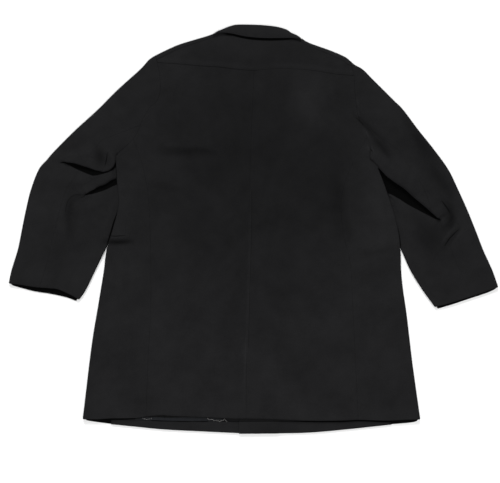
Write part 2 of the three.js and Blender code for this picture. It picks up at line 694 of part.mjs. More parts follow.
function collar() {
  // The collar's ends lie a little inside the ends of the neck seam.
  const neck = neckSeam.map(pair);
  const columns = 2 * NECK_COLUMNS;
  const inset = 1 / (4 * columns);
  const places = Array.from({ length: columns + 1 }, (_, c) => (
    THREE.MathUtils.lerp(inset, 1 - inset, c / columns)));
  const seam = pointsAlong(neck, places);
  const roll = sample(COLLAR_ROLL_LINE, columns);
  const edge = sample(COLLAR_EDGE, columns);
  const rollTop = BACK_LEVEL + 2 * COLLAR_ROLL;
  const fold = foldLine(roll, seam, () => rollTop, () => BACK_LEVEL);
  const foldAt = fold.map(({ at }) => at);
  const fall = spread(edge, foldAt, FALL_ROWS).flatMap((row, r) => (
    layer([row], () => THREE.MathUtils.lerp(COLLAR_EDGE_LEVEL, rollTop, r / FALL_ROWS), 1)));
  const standPlan = leaveSeams(spread(foldAt, seam, STAND_ROWS), ['bottom']);
  const stand = layer(standPlan, () => BACK_LEVEL, -1);
  const rounds = fold.map(({ away }, c) => roundEdge(fall.at(-1)[c], stand[0][c], away));
  const turned = Array.from({ length: FOLD_STEPS - 1 }, (_, k) => rounds.map((round) => round[k]));
  return clothWall([...fall, ...turned, ...stand]);
}

// The front half of the collar's stand, lying inside the neckline.
function collarStand(name) {
  const seam = seams[name].neckline.slice(0, -1);
  const edge = sample(sides[name].standEdge, seam.length - 1);
  const plan = leaveSeams(spread(seam, edge, STAND_ROWS), ['top'], SEAM);
  return clothWall(layer(plan, () => REST_LEVEL, -1));
}

function liningStrip() {
  const top = sample(LINING_TOP, LINING_COLUMNS);
  const edge = sample(LINING_EDGE, LINING_COLUMNS);
  return clothWall(layer(spread(top, edge, LINING_ROWS), () => LINING_LEVEL, 1), LINING_WALL);
}

// ---------- the coat ----------

const COLOURS = { cloth: 0x1d1d20, collar: 0x1b1b1e, lining: 0x121214 };

const coat = new THREE.Group();

function add(name, geometry, colour = COLOURS.cloth, roughness = 0.95) {
  const material = new THREE.MeshStandardMaterial({ color: colour, roughness, metalness: 0 });
  const mesh = new THREE.Mesh(geometry, material);
  mesh.name = name;
  coat.add(mesh);
}

add('back_yoke', yoke());
['left', 'right'].forEach((name) => {
  add(`back_${name}`, backPanel(name));
  add(`side_${name}`, sidePanel(name));
  add(`front_${name}`, frontPanel(name));
  const { top, under } = sleeve(name);
  add(`sleeve_${name}_top`, top);
  add(`sleeve_${name}_under`, under);
});
add('collar', collar(), COLOURS.collar);
['left', 'right'].forEach((name) => add(`collar_stand_${name}`, collarStand(name), COLOURS.collar));
add('lining', liningStrip(), COLOURS.lining, 0.6);

export default coat;
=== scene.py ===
# %% [markdown]
# # A wool overcoat, laid out flat on its front
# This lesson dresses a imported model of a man's overcoat of car-coat length. The coat lies face down on a
# pale floor, so the panelled back, the sleeves and the turned-down collar are seen from straight above.
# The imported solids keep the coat's size and weight. Blender adds what cloth needs to look like cloth:
# creases that hang over themselves, pressed seams, stitching, and the nap of melton wool.

import bpy
import numpy as np
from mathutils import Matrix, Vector


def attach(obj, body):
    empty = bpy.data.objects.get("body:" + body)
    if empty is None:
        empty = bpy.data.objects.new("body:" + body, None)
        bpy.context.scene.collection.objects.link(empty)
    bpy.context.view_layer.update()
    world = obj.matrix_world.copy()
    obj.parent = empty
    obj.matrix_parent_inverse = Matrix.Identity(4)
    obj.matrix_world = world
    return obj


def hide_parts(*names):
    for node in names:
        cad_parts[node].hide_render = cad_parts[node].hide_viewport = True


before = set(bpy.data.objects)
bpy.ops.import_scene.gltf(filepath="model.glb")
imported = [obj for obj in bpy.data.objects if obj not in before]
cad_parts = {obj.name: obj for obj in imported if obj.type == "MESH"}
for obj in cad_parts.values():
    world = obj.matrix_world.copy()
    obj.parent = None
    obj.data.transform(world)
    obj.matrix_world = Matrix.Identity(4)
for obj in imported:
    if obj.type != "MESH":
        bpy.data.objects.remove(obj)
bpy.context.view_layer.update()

# %% [markdown]
# ## Camera
# The camera looks straight down on the coat, as from a ladder. A long lens a few metres up keeps the hem
# and the collar at one scale. An orthographic camera would do that too, but it shows no perspective at
# all, so the coat would look flat from the side.

# %% Camera, straight above the coat
VIEW_WIDTH = 1.225
VIEW_CENTRE = (-0.0086, -0.0306)
CAMERA_HEIGHT = 3.2
SENSOR = 36.0

camera_data = bpy.data.cameras.new("ladder_camera")
camera_data.sensor_width = SENSOR
camera_data.lens = SENSOR * CAMERA_HEIGHT / VIEW_WIDTH
camera = bpy.data.objects.new("ladder_camera", camera_data)
camera.location = (*VIEW_CENTRE, CAMERA_HEIGHT)
bpy.context.scene.collection.objects.link(camera)
bpy.context.scene.camera = camera
print("lens in millimetres:", round(camera_data.lens, 1))

# %% [markdown]
# ## Floor and light
# The floor is a plain pale sheet, almost white. A soft lamp stands beyond the collar and shines down the
# coat, so each crease that faces the hem falls into shadow. A second, broader lamp and a bright sky fill
# in the rest. Black wool gives back little over one hundredth of the light, so the Standard view is used:
# it keeps those low values as they are, where a film look would lift or crush them.

# %% Floor and light
FLOOR_LEVEL = -0.0006
FLOOR_HALF = 4.0


def aim(light, target):
    """Turns a lamp so that it shines at the target."""
    direction = Vector(target) - light.location
    light.rotation_euler = direction.to_track_quat("-Z", "Y").to_euler()


def soft_lamp(name, place, size, power, target=(0, 0, 0)):
    """A square area lamp that shines at the target."""
    data = bpy.data.lights.new(name, "AREA")
    data.shape = "SQUARE"
    data.size = size
    data.energy = power
    lamp = bpy.data.objects.new(name, data)
    lamp.location = place
    bpy.context.scene.collection.objects.link(lamp)
    aim(lamp, target)
    return lamp


floor_mesh = bpy.data.meshes.new("floor")
floor_corners = [(x * FLOOR_HALF, y * FLOOR_HALF, FLOOR_LEVEL)
                 for x, y in ((-1, -1), (1, -1), (1, 1), (-1, 1))]
floor_mesh.from_pydata(floor_corners, [], [(0, 1, 2, 3)])
floor = bpy.data.objects.new("floor", floor_mesh)
bpy.context.scene.collection.objects.link(floor)
floor_paint = bpy.data.materials.new("pale_floor")
floor_paint.use_nodes = True
floor_shader = floor_paint.node_tree.nodes["Principled BSDF"]
floor_shader.inputs["Base Color"].default_value = (0.92, 0.92, 0.92, 1)
floor_shader.inputs["Roughness"].default_value = 0.9
floor_mesh.materials.append(floor_paint)

soft_lamp("lamp_beyond_collar", (-0.5, 4.6, 3.2), 1.6, 235)
soft_lamp("lamp_above_hem", (0.1, -1.5, 3.4), 3.0, 78)
world = bpy.data.worlds.new("bright_sky")
world.use_nodes = True
sky = world.node_tree.nodes["Background"]
sky.inputs["Color"].default_value = (1, 1, 1, 1)
sky.inputs["Strength"].default_value = 0.5
bpy.context.scene.world = world
bpy.context.scene.view_settings.view_transform = "Standard"

# %% [markdown]
# ## Sizes
# These sizes and seam lines follow the solids', in millimetres. A few are set closer: the gap at the seams,
# the press of the body on the sleeves, and the corners of the hem and the cuffs. The dressed pieces are drawn
# on a much finer grid, so they lie on the solids' form. Sides are the wearer's: the coat lies face down with
# its collar at +Y, so the wearer's left is at -X.

# %% Sizes of the layers
SOLID_WALL = 2.2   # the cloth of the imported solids
WALL = 2.0         # the dressed cloth
SEAM = 0.1         # the gap between two panels
# Levels of the middle of a layer, above the floor.
REST_LEVEL = SOLID_WALL / 2
BACK_LEVEL = 7.0
TUCK_LEVEL = 3.9   # a sleeve's upper layer where the body presses on it
LOWEST_UPPER_LAYER = 3.6
LOWEST_BACK = 6.2
# The body's lower and upper layers are lifted over the tucked sleeve, and come down again further in.
BODY_LIFT = 6.0
BACK_LIFT = 4.4
TUCK_REACH = 16.0
BODY_HOLD = 14.0
BODY_REACH = 50.0
BACK_REACH = 65.0
# The hem of the back stands up over the turned-up hem of the fronts.
HEM_LIFT = 2.0
HEM_LIFT_REACH = 26.0
HEM_LIFT_LINE = -467
# The right front is lifted by the left one, which lies under it.
FLY_LIFT = 2.5
FLY_HOLD = 30.0
FLY_REACH = 14.0
# How far the shoulder seam lies from the fold of the shoulder.
SHOULDER_SEAM_AT_TIP = 8.0
SHOULDER_SEAM_AT_NECK = 4.0

# %% Seam lines of the two halves, x and y
LEFT = {
    "shoulder": [[-241, 424], [-217, 436], [-183, 451], [-141, 464], [-111, 473], [-92, 480]],
    "sleeve_outer": [[-241, 424], [-256, 414], [-278, 390], [-332, 341], [-381, 292], [-435, 243],
                     [-484, 194], [-506, 169], [-526, 145], [-545, 96], [-557, 47], [-567, -2],
                     [-577, -51], [-592, -100], [-599, -133]],
    "sleeve_inner": [[-303, 132], [-320, 88], [-326, 50], [-341.5, -7], [-362.5, -51], [-386, -100],
                     [-410, -149], [-426.5, -173]],
    "upper_cuff": [[-599, -133], [-572, -136], [-535, -142], [-499, -145], [-474, -149], [-426.5, -171]],
    "lower_cuff": [[-598, -137], [-572, -143.5], [-535, -153], [-499, -158.5], [-462, -166.5],
                   [-426.5, -178]],
    "armhole_back": [[-235, 407], [-227, 353], [-234, 316], [-254, 296], [-271, 267], [-283, 238],
                     [-293, 221]],
    "armhole_side": [[-293, 221], [-315, 198], [-337, 179]],
    "armhole_under": [[-337, 179], [-325, 152], [-303, 132]],
    "armhole_front": [[-235, 407], [-229, 365], [-236, 316], [-263, 267], [-285, 218], [-303, 132]],
    "guide_back": [[-379, 280], [-368, 205]],
    "guide_side": [[-368, 205], [-363, 168]],
    "guide_under": [[-363, 168], [-350, 128], [-320, 88]],
    "side_edge": [[-337, 179], [-334, 120], [-330, 59], [-344, 0], [-359, -51], [-366, -100],
                  [-374, -149], [-383, -203], [-393, -262], [-401, -321], [-408, -380], [-418, -464.5]],
    "side_back_seam": [[-293, 221], [-266, 132], [-254, 34], [-251, -174], [-258, -321], [-263, -458]],
    "side_front_seam": [[-303, 132], [-293, -2], [-310, -174], [-332, -321], [-349, -477]],
    "side_back_hem": [[-263, -458], [-290, -462], [-352, -463], [-383, -465], [-418, -464.5]],
    "back_hem": [[-18, -463], [-53, -463], [-121, -460], [-192, -457], [-227, -455], [-263, -458]],
    "side_front_hem": [[-418, -464.5], [-401, -470], [-349, -477]],
    "front_hem": [[-349, -477], [-290, -483], [-217, -490], [-119, -495], [-9, -500], [26, -500]],
    "neckline": [[-92, 480], [-77, 443], [-38, 414], [9, 402], [39, 401]],
    "stand_edge": [[-66, 474], [-52, 452], [-25, 434], [-4, 430]],
    "yoke_seam": [[1, 387], [-45, 391], [-82, 396], [-131, 399], [-185, 404], [-235, 407]],
    "neck_point": [-88, 472],
}
RIGHT = {
    "shoulder": [[239, 409], [224, 421], [190, 436], [148, 451], [131, 458], [119, 466]],
    "sleeve_outer": [[239, 409], [249, 401], [268, 390], [293, 365], [342, 316], [366, 292],
                     [403, 243], [442, 194], [477, 145], [501, 96], [523, 47], [543, -2], [562, -51],
                     [584, -100], [599, -142]],
    "sleeve_inner": [[276, 105], [293, 70], [308, 42], [337, -7], [361, -51], [383, -100], [413, -149],
                     [444, -191.5]],
    "upper_cuff": [[599, -142], [570, -152], [526, -167], [481, -181], [444, -191.5]],
    "lower_cuff": [[598, -145.5], [570, -157], [526, -171.5], [481, -186.5], [444, -196.5]],
    "armhole_back": [[246, 375], [249, 328], [256, 274], [268, 252], [278, 225]],
    "armhole_side": [[278, 225], [288, 198], [303, 152]],
    "armhole_under": [[303, 152], [290, 125], [276, 105]],
    "armhole_front": [[246, 375], [244, 340], [246, 292], [258, 243], [268, 194], [276, 105]],
    "guide_back": [[375, 268], [352, 175]],
    "guide_side": [[352, 175], [343, 128]],
    "guide_under": [[343, 128], [325, 92], [293, 70]],
    "side_edge": [[303, 152], [322, 102], [342, 42], [354, -7], [359, -51], [361, -100], [366, -149],
                  [374, -203], [381, -262], [388, -321], [396, -380], [408, -465]],
    "side_back_seam": [[278, 225], [241, 157], [216, 83], [218, -2], [236, -81], [242, -174],
                       [249, -321], [256, -466]],
    "side_front_seam": [[276, 105], [285, -27], [300, -174], [320, -321], [337, -478]],
    "side_back_hem": [[256, -466], [322, -468], [371, -466], [408, -465]],
    "back_hem": [[-18, -463], [65, -465.5], [138, -468.5], [212, -468], [256, -466]],
    "side_front_hem": [[408, -465], [391, -473], [337, -478]],
    "front_hem": [[337, -478], [224, -490], [126, -498], [-9, -500], [-36, -500]],
    "neckline": [[119, 466], [104, 434], [65, 409], [9, 402], [-21, 402]],
    "stand_edge": [[92, 464], [79, 446], [51, 432], [23, 429]],
    "yoke_seam": [[1, 387], [53, 392], [104, 391], [151, 387], [200, 379], [246, 375]],
    "neck_point": [116, 458],
}
SIDES = {"left": LEFT, "right": RIGHT}
TUCK_END = 5      # points of the side edge that lie over the sleeve
TUCKED_INNER = 5  # points of the sleeve's inner edge that lie under the body
CENTRE_BACK = [[1, 387], [-4, 267], [-9, 120], [-11, -76], [-16, -247], [-18, -463]]
NECK_SEAM = [[-88, 472], [-45, 473], [4, 472], [65, 470], [116, 458]]
COLLAR_ROLL_LINE = [[-100, 475.5], [-88, 483], [-75, 488], [-58, 495], [-38, 499.5], [4, 499.5], [53, 495],
                    [80, 488], [92, 480], [107, 473], [117, 466]]
COLLAR_EDGE = [[-100, 474.5], [-80, 479.5], [-53, 477], [-33, 472.5], [-9, 468.5], [28, 466], [65, 466],
               [89, 466.5], [113, 465.5]]
COLLAR_HOLLOW = [-4, 4.0, 4.5, 5.5, 6.0, 6.0, 6.0, 5.5, 4.5, -3]  # width of the painted shadow line below that edge

# %% [markdown]
# ## Lines and grids
# A seam is a smooth line through a few points. A panel is a grid of points filled in between its four
# edges, the way a net is stretched in a frame. This is called a Coons patch. It follows curved seams
# exactly, which a plane cut by a boolean or pulled about by hand would not do.

# %% Lines through a table of points
def run_through(*tables, density=24):
    """A dense line through tables of points, end to end."""
    t = np.linspace(0, 1, density, endpoint=False)[:, None]
    dense = []
    for table in tables:
        p = np.array(table, float)
        last = len(p) - 1
        for k in range(last):
            a, b, c, d = p[max(k - 1, 0)], p[k], p[k + 1], p[min(k + 2, last)]
            leave, arrive = (c - a) / 2, (d - b) / 2
            dense.append((2 * b - 2 * c + leave + arrive) * t ** 3
                         + (-3 * b + 3 * c - 2 * leave - arrive) * t ** 2 + leave * t + b)
        dense.append(p[-1:])
    return np.vstack(dense)


def shares_of(run):
    """How far along a line each of its points lies, from 0 to 1."""
    steps = np.linalg.norm(np.diff(run, axis=0), axis=1)
    total = np.concatenate([[0], np.cumsum(steps)])
    return total / total[-1]


def length_of(run):
    """The length of a line."""
    return np.linalg.norm(np.diff(run, axis=0), axis=1).sum()


def along(run, shares):
    """Points of a dense line at given shares of its length."""
    own = shares_of(run)
    return np.stack([np.interp(shares, own, run[:, axis]) for axis in range(run.shape[1])], axis=-1)


def drawn(table, shares):
    """Points at given shares of the smooth line through a table."""
    return along(run_through(table), shares)


def between(first, last, share):
    """What lies part way from the first to the last."""
    return first * (1 - share) + last * share


CLOSE_ROWS = np.array([0.9, 2.0, 3.4])  # mm from a sewn end


def spaced(count, length, close_at=(True, True), through=()):
    """Shares from 0 to 1, with extra ones close to a sewn end and at the named corners."""
    near = CLOSE_ROWS / length
    shares = [np.linspace(0, 1, count + 1), np.array(through, float)]
    if close_at[0]:
        shares.append(near)
    if close_at[1]:
        shares.append(1 - near)
    return np.unique(np.round(np.concatenate(shares), 5))


# %% Panels filled in between four edges
def fill(top, bottom, start, end):
    """A grid between four edge runs. Top and bottom run along the columns."""
    u = ((shares_of(top) + shares_of(bottom)) / 2)[None, :, None]
    v = ((shares_of(start) + shares_of(end)) / 2)[:, None, None]
    grid = (1 - v) * top[None] + v * bottom[None] + (1 - u) * start[:, None] + u * end[:, None]
    grid -= (1 - v) * ((1 - u) * top[0] + u * top[-1]) + v * ((1 - u) * bottom[0] + u * bottom[-1])
    grid[0], grid[-1] = top, bottom
    grid[:, 0], grid[:, -1] = start, end
    return grid


def square_to(run, beside):
    """Unit directions square to a line, turned to the side of the points beside it."""
    ahead = np.vstack([run[1:], run[-1:]])
    behind = np.vstack([run[:1], run[:-1]])
    tangent = ahead - behind
    tangent /= np.linalg.norm(tangent, axis=1, keepdims=True)
    square = np.stack([-tangent[:, 1], tangent[:, 0]], axis=1)
    side = np.sign(np.sum(square * (beside - run), axis=1, keepdims=True))
    return square * np.where(side == 0, 1, side)


def nearest(run, at):
    """Distance from each point to a line, share along it, the way to the point, and the line's own way."""
    start, step = run[:-1], np.diff(run, axis=0)
    own = shares_of(run)
    flat = at.reshape(-1, 2)
    to = flat[:, None] - start[None]
    t = np.clip(np.sum(to * step, axis=2) / np.sum(step * step, axis=1), 0, 1)
    off = to - t[..., None] * step[None]
    gap = np.linalg.norm(off, axis=2)
    k = gap.argmin(axis=1)
    row = np.arange(len(flat))
    share = own[k] + t[row, k] * (own[k + 1] - own[k])
    shape = at.shape[:-1]
    return (gap[row, k].reshape(shape), share.reshape(shape),
            off[row, k].reshape(*shape, 2), step[k].reshape(*shape, 2))


def beside_line(run, at, side):
    """Distance from a line, the same but below zero off the named side, share along it, and way across."""
    distance, share, off, step = nearest(run, at)
    square = np.stack([-step[..., 1], step[..., 0]], axis=-1)
    square /= np.linalg.norm(square, axis=-1, keepdims=True)
    square *= np.sign(square @ np.array(side, float))[..., None]
    return distance, np.sign(np.sum(off * square, axis=-1)) * distance, share, square


def inside(ring, at):
    """Whether each point lies inside a closed ring of points."""
    x, y = at[..., 0], at[..., 1]
    within = np.zeros(x.shape, bool)
    for a, b in zip(ring, np.roll(ring, -1, axis=0)):
        crosses = (a[1] > y) != (b[1] > y)
        rise = b[1] - a[1] if b[1] != a[1] else 1
        within ^= crosses & (x < a[0] + (b[0] - a[0]) * (y - a[1]) / rise)
    return within


print("centre back seam, mm:", round(length_of(run_through(CENTRE_BACK))))

# %% [markdown]
# ## Soft folds
# Laid cloth is never level. Each soft fold is a line with a height: a ridge above zero, a trough below.
# A bell-shaped bump follows the line and dies away at both ends. The first table repeats the largest folds
# of the solids. The second adds the small ones that only show in raking light. A cloth simulation would
# give folds too, but not these folds in these places, so they are listed one by one.

# %% The largest folds, as in the solids
LARGE_FOLDS = [
    # line, width, height
    ([[-503, 174], [-425, 176], [-352, 189]], 15, 4),
    ([[-486, 118], [-413, 118], [-347, 142]], 16, 5),
    ([[-459, 47], [-396, 56], [-344, 91]], 17, 4.5),
    ([[-450, 34], [-479, -27], [-499, -105]], 26, 3),
    ([[-300, 360], [-352, 290], [-400, 235]], 34, 3),
    ([[310, 180], [364, 143], [418, 98], [481, 40]], 17, 8),
    ([[347, 50], [393, 33], [442, 3]], 16, 3.5),
    ([[251, 277], [276, 250], [305, 218], [337, 179]], 10, -4),
    ([[276, 287], [312, 245], [354, 201]], 15, 3.5),
    ([[457, 69], [486, 49], [496, 27], [472, 0]], 9, -3.5),
    ([[474, -47], [491, -22], [508, 5]], 9, -3),
    ([[339, 272], [398, 194], [442, 105]], 34, 3.5),
    ([[-234, 213], [-175, 206], [-116, 196]], 16, 2.5),
    ([[-205, 164], [-156, 159], [-111, 154]], 18, 3),
    ([[261, 157], [290, 59], [285, -64]], 34, 5.5),
    ([[-358, -15], [-307, -15]], 10, 2.5),
    ([[-283, 108], [-300, -15], [-325, -149]], 26, 3),
]

# %% Small folds that only the dressed coat has
SMALL_FOLDS = [
    # line, width, height, how much painted shade lies along it (below zero, a painted highlight)
    ([[-366, -31], [-338, -33], [-296, -31]], 6.0, -3.0, 0.7),
    ([[-362, -21], [-338, -22], [-312, -20]], 4, 1.8, -0.1),
    ([[-240, 188], [-185, 186], [-118, 184]], 10, -2.2, 0.2),
    ([[-226, 205], [-180, 202], [-130, 200]], 7, 1.2, -0.05),
    ([[-150, 196], [-112, 190], [-86, 180]], 7, -1.0, 0.16),
    ([[-222, 27], [-200, 24], [-178, 20]], 9, 1.6, -0.1),
    ([[-275, 240], [-262, 232], [-240, 224]], 8, 1.3, -0.05),
    ([[-228, 104], [-200, 98], [-165, 92]], 9, -1.0, 0.1),
    ([[-385, 200], [-376, 180], [-370, 150]], 12, -2.8, 0.4),
    ([[-352, 190], [-346, 168], [-342, 150]], 6, 1.6, -0.06),
    ([[-402, 82], [-436, 74], [-450, 52], [-453, 20], [-448, -15]], 10, -1.4, 0.26),
    ([[-476, 70], [-478, 30], [-472, -20]], 12, 1.8, -0.06),
    ([[206, 180], [204, 100], [212, 0]], 20, -3.0, 0.2),
    # the painted highlight along the centre back seam
    ([[-8.6, 95], [-10.5, -76], [-15.5, -230], [-22, -358], [-23, -430]], 2.6, 0.35, -0.26),
    ([[224, 28], [232, 5], [236, -30]], 7, -1.2, 0.1),
    ([[236, 150], [232, 80], [240, 10]], 9, 1.4, -0.05),
    ([[176, 40], [150, 10], [120, -30]], 16, -1.1, 0.08),
    ([[252, 275], [276, 250], [296, 226]], 5, -2.2, 0.3),
    ([[292, 226], [316, 198], [336, 172]], 9, -2.8, 0.42),
    ([[268, 250], [275, 236], [284, 222]], 4, 1.3, -0.3),
    ([[276, 206], [284, 190]], 2.6, 1.2, -0.3),
    ([[279, 181], [288, 176]], 2.2, 0.9, -0.25),
    ([[289, 202], [293, 184]], 2.2, 1.2, -0.25),
    ([[250, 320], [256, 300]], 3, 1.0, -0.2),
    ([[250, 290], [258, 276]], 3, 1.0, -0.22),
    ([[463, 66], [479, 46], [488, 24], [482, 8], [470, 0]], 9.5, -3.2, 0.32),
    ([[456, 34], [463, 22], [466, 8]], 4.5, 2.4, -0.12),
    ([[478, -44], [492, -22], [506, 0]], 3.4, -2.6, 0.3),
    ([[459, -38], [473, -17], [495, 8]], 3.2, 2.0, -0.3),
    ([[476, -48], [491, -26], [510, -4]], 3.2, 1.6, -0.24),
    ([[390, 250], [430, 180], [458, 110]], 16, -2.0, 0.16),
    ([[436, 150], [470, 100], [488, 60]], 12, -1.5, 0.18),
    ([[366, 268], [392, 236], [412, 200]], 10, -1.4, 0.14),
    ([[352, -44], [300, -58], [262, -60]], 7, -1.0, 0.14),
    ([[-70, 330], [0, 300], [90, 310]], 40, -0.8, 0.05),
    ([[110, 340], [140, 290], [150, 230]], 18, 0.9, -0.08),
    ([[190, 250], [160, 215], [118, 190]], 10, -1.0, 0.1),
    ([[-60, -390], [-20, -410], [20, -400]], 14, 0.8, 0.0),
    ([[60, -340], [120, -372], [190, -400]], 20, -0.8, 0.1),
    ([[-150, -330], [-90, -350], [-30, -345]], 16, -0.7, 0.06),
    ([[404, 80], [372, 96], [350, 112]], 9, -0.6, 0.14),
]


def prepared(folds):
    """Folds with a dense line in place of their few points."""
    return [(run_through(line, density=4), *sizes) for line, *sizes in folds]


FOLDS = prepared(LARGE_FOLDS)
FINE = prepared(SMALL_FOLDS)
END_HEIGHT = 0.35  # a fold's height at its ends, as a share of its full height


def bell(fold, at):
    """One fold's height at plan points: a soft bell across its line, tapered to both ends."""
    run, width, height = fold[:3]
    distance, share, _, _ = nearest(run, at)
    taper = END_HEIGHT + (1 - END_HEIGHT) * np.sin(np.pi * share) ** 0.7
    return height * taper * np.exp(-(distance / width) ** 2)


WAVES = np.random.default_rng(11)
WAVE_COUNT = 14
WAVE_LENGTH = (9, 30)  # mm for each radian
WAVE_HEIGHT = 0.11
WAVE_TABLE = [(WAVES.uniform(-1, 1, 2) / WAVES.uniform(*WAVE_LENGTH), WAVES.uniform(0, 6.3))
              for _ in range(WAVE_COUNT)]


def unevenness(at):
    """The slight unevenness of laid wool, well under a millimetre."""
    total = sum(np.sin(at @ direction + phase) for direction, phase in WAVE_TABLE)
    return WAVE_HEIGHT * total


def draped(at):
    """The level of an upper layer, with all its folds, before anything lifts or presses it."""
    return BACK_LEVEL + sum(bell(fold, at) for fold in [*FOLDS, *FINE]) + unevenness(at)


print("soft folds:", len(FOLDS), "large and", len(FINE), "small")

# %% [markdown]
# ## Painted shade and shadow
# The wool's colour carries painted shade, painted highlights and painted shadow: darker and lighter
# patches where the light falls less or more, and black down in a fold or under an edge. Numbers at each
# point of the mesh say so. "shade" is how much painted shade lies there, from a short table of soft patches
# and the small folds; below zero it is a painted highlight. "hollow" is how many millimetres a point is
# inside a deep fold or the shadow under an edge, below zero outside. The material paints it black, as
# shadow, just past zero, so the painted shadow keeps a crisp edge on a coarse mesh. A crease that is
# pressed sharp is narrower than a cell of the mesh, so its painted dark line has two numbers: how far
# beside its line a point lies, and how wide the crease is there. A painted picture would do all this too,
# but numbers on the mesh follow the cloth and need no image.

# %% Broad patches of painted shade and painted light
PATCHES = [
    # centre, half width and half length, how much painted shade (below zero, painted light)
    ((0, 250), (250, 190), 0.24),
    ((-10, 50), (270, 190), 0.16),
    ((185, 120), (60, 120), 0.1),
    ((70, -10), (150, 90), 0.07),
    ((-120, 190), (90, 60), 0.06),
    ((130, 330), (50, 50), -0.13),
    ((-185, 390), (70, 40), -0.08),
    ((310, 20), (45, 90), -0.16),
    ((-442, 40), (22, 50), 0.14),
    ((-420, -20), (40, 50), 0.1),
    ((-480, -70), (50, 40), 0.1),
    ((-300, -90), (60, 110), -0.06),
    ((425, -15), (38, 30), 0.28),
    ((479, 28), (13, 29), 0.25),
    ((415, 190), (38, 70), 0.18),
    ((475, -60), (55, 60), 0.12),
    ((470, 90), (30, 50), 0.15),
    ((370, 110), (50, 50), -0.08),
    ((0, -420), (420, 90), -0.05),
    ((-530, 60), (40, 110), -0.06),
    ((-165, 310), (90, 75), 0.09),
    ((-175, 10), (100, 70), 0.09),
    ((70, -165), (130, 120), 0.08),
    ((-285, -20), (35, 50), 0.1),
    ((-380, -390), (60, 90), -0.07),
    ((70, 410), (180, 45), 0.09),
    ((272, 165), (28, 34), -0.1),
]


def painted_shade(at):
    """How much painted shade lies at each point, from the patches and the small folds; below zero it is a
    painted highlight.
    """
    total = np.zeros(at.shape[:-1])
    for centre, half, amount in PATCHES:
        total += amount * np.exp(-(((at - centre) / half) ** 2).sum(axis=-1))
    for run, width, _, amount in FINE:
        distance, share, _, _ = nearest(run, at)
        taper = np.sin(np.pi * np.clip(share, 0.04, 0.96)) ** 0.5
        total += amount * taper * np.exp(-(distance / width) ** 2)
    return total


# %% Painted shade of sharp creases, and painted shadow in the hollows beside an edge
OUTSIDE = -20.0      # the value of a point that is in no hollow
MARK_REACH = 12.0    # mm past an edge or a crease where its mark is no longer looked for
SHARP_CREASES = [
    # line, half width of its painted dark line of shade
    ([[466, -43], [480, -22], [502, 0]], 1.1),
    ([[458, 70], [466, 60], [474, 49], [480, 38]], 1.1),
    ([[-355, -17], [-335, -17.5], [-312, -16]], 0.7),
    ([[-357, 188], [-359, 169], [-364, 152]], 0.9),
    ([[-404, 84], [-420, 83], [-438, 83], [-454, 68], [-460, 40]], 0.35),
    ([[249, 274], [258, 265], [270, 254]], 0.5),
    ([[285, 195], [291, 188]], 0.7),
    # the painted dark line of shade just beside the centre back seam
    ([[-4, 95], [-5, -20], [-9, -140], [-12, -290]], 0.0),
]
SHARP = [(run_through(line, density=6), half) for line, half in SHARP_CREASES]


def sharp_creases(at):
    """The signed distance to the nearest sharp crease, and that crease's half width there."""
    closest = np.full(at.shape[:-1], MARK_REACH)
    beside, half_width = np.zeros(closest.shape), np.full(closest.shape, OUTSIDE)
    for run, half in SHARP:
        distance, share, off, step = nearest(run, at)
        step = step / np.linalg.norm(step, axis=-1, keepdims=True)
        across = off[..., 1] * step[..., 0] - off[..., 0] * step[..., 1]
        past_end = np.abs(np.sum(off * step, axis=-1))
        near = distance < closest
        closest = np.where(near, distance, closest)
        beside = np.where(near, across, beside)
        half_width = np.where(near, half * np.sin(np.pi * share) ** 0.5 - past_end, half_width)
    return beside, half_width


def under_edge(at, line, widths, open_side, depth=30):
    """How far inside the narrow hollow beside an edge that lies over the cloth each point is, in mm.

    The material paints this hollow black, as the edge's painted shadow. The depth is how far back under the
    edge the cloth is still painted dark."""
    _, signed, share, _ = beside_line(run_through(line), at, open_side)
    width = np.interp(share, np.linspace(0, 1, len(widths)), widths)
    within = (signed > -depth) & (share > 0) & (share < 1) & (signed < MARK_REACH)
    return np.where(within, width - signed, OUTSIDE)


# %% [markdown]
# ## Levels of the layers
# The body lies over the inner edge of each sleeve. There the sleeve is pressed flat, and the body is
# lifted over it and comes down again a little further in. The solids follow nearly the same rules.

# %% Where one layer lies over another
def fade(distance, reach):
    """One up close, easing to nothing at the reach."""
    t = np.clip(distance / reach, 0, 1)
    return 1 - t * t * (3 - 2 * t)


TUCKS = [np.array(side["side_edge"][:TUCK_END] + side["sleeve_inner"][:TUCKED_INNER][::-1], float)
         for side in (LEFT, RIGHT)]


def away_from_tuck(at):
    """Distance to the nearer strip where the body lies over a sleeve, and 0 inside it."""
    gaps = []
    for strip in TUCKS:
        gap = nearest(np.vstack([strip, strip[:1]]), at)[0]
        gaps.append(np.where(inside(strip, at), 0, gap))
    return np.minimum(*gaps)


def sleeve_upper(at):
    """The level of a sleeve's upper layer, pressed flat where the body lies over it."""
    share = fade(away_from_tuck(at), TUCK_REACH)
    return np.maximum(draped(at) * (1 - share) + TUCK_LEVEL * share, LOWEST_UPPER_LAYER)


def body_upper(at):
    """The level of the back, lifted over the tucked sleeves and over the turned-up hem."""
    hem = np.exp(-((at[..., 1] - HEM_LIFT_LINE) / HEM_LIFT_REACH) ** 2)
    lift = BACK_LIFT * fade(away_from_tuck(at), BACK_REACH) + HEM_LIFT * hem
    return np.maximum(draped(at) + lift, LOWEST_BACK)


def body_lower(at):
    """The level of the body's lower layer, lifted over the tucked sleeves."""
    return REST_LEVEL + BODY_LIFT * fade(np.maximum(away_from_tuck(at) - BODY_HOLD, 0), BODY_REACH)


def sleeve_lower(at):
    """The level of a sleeve's lower layer, flat on the floor."""
    return np.full(at.shape[:-1], REST_LEVEL)


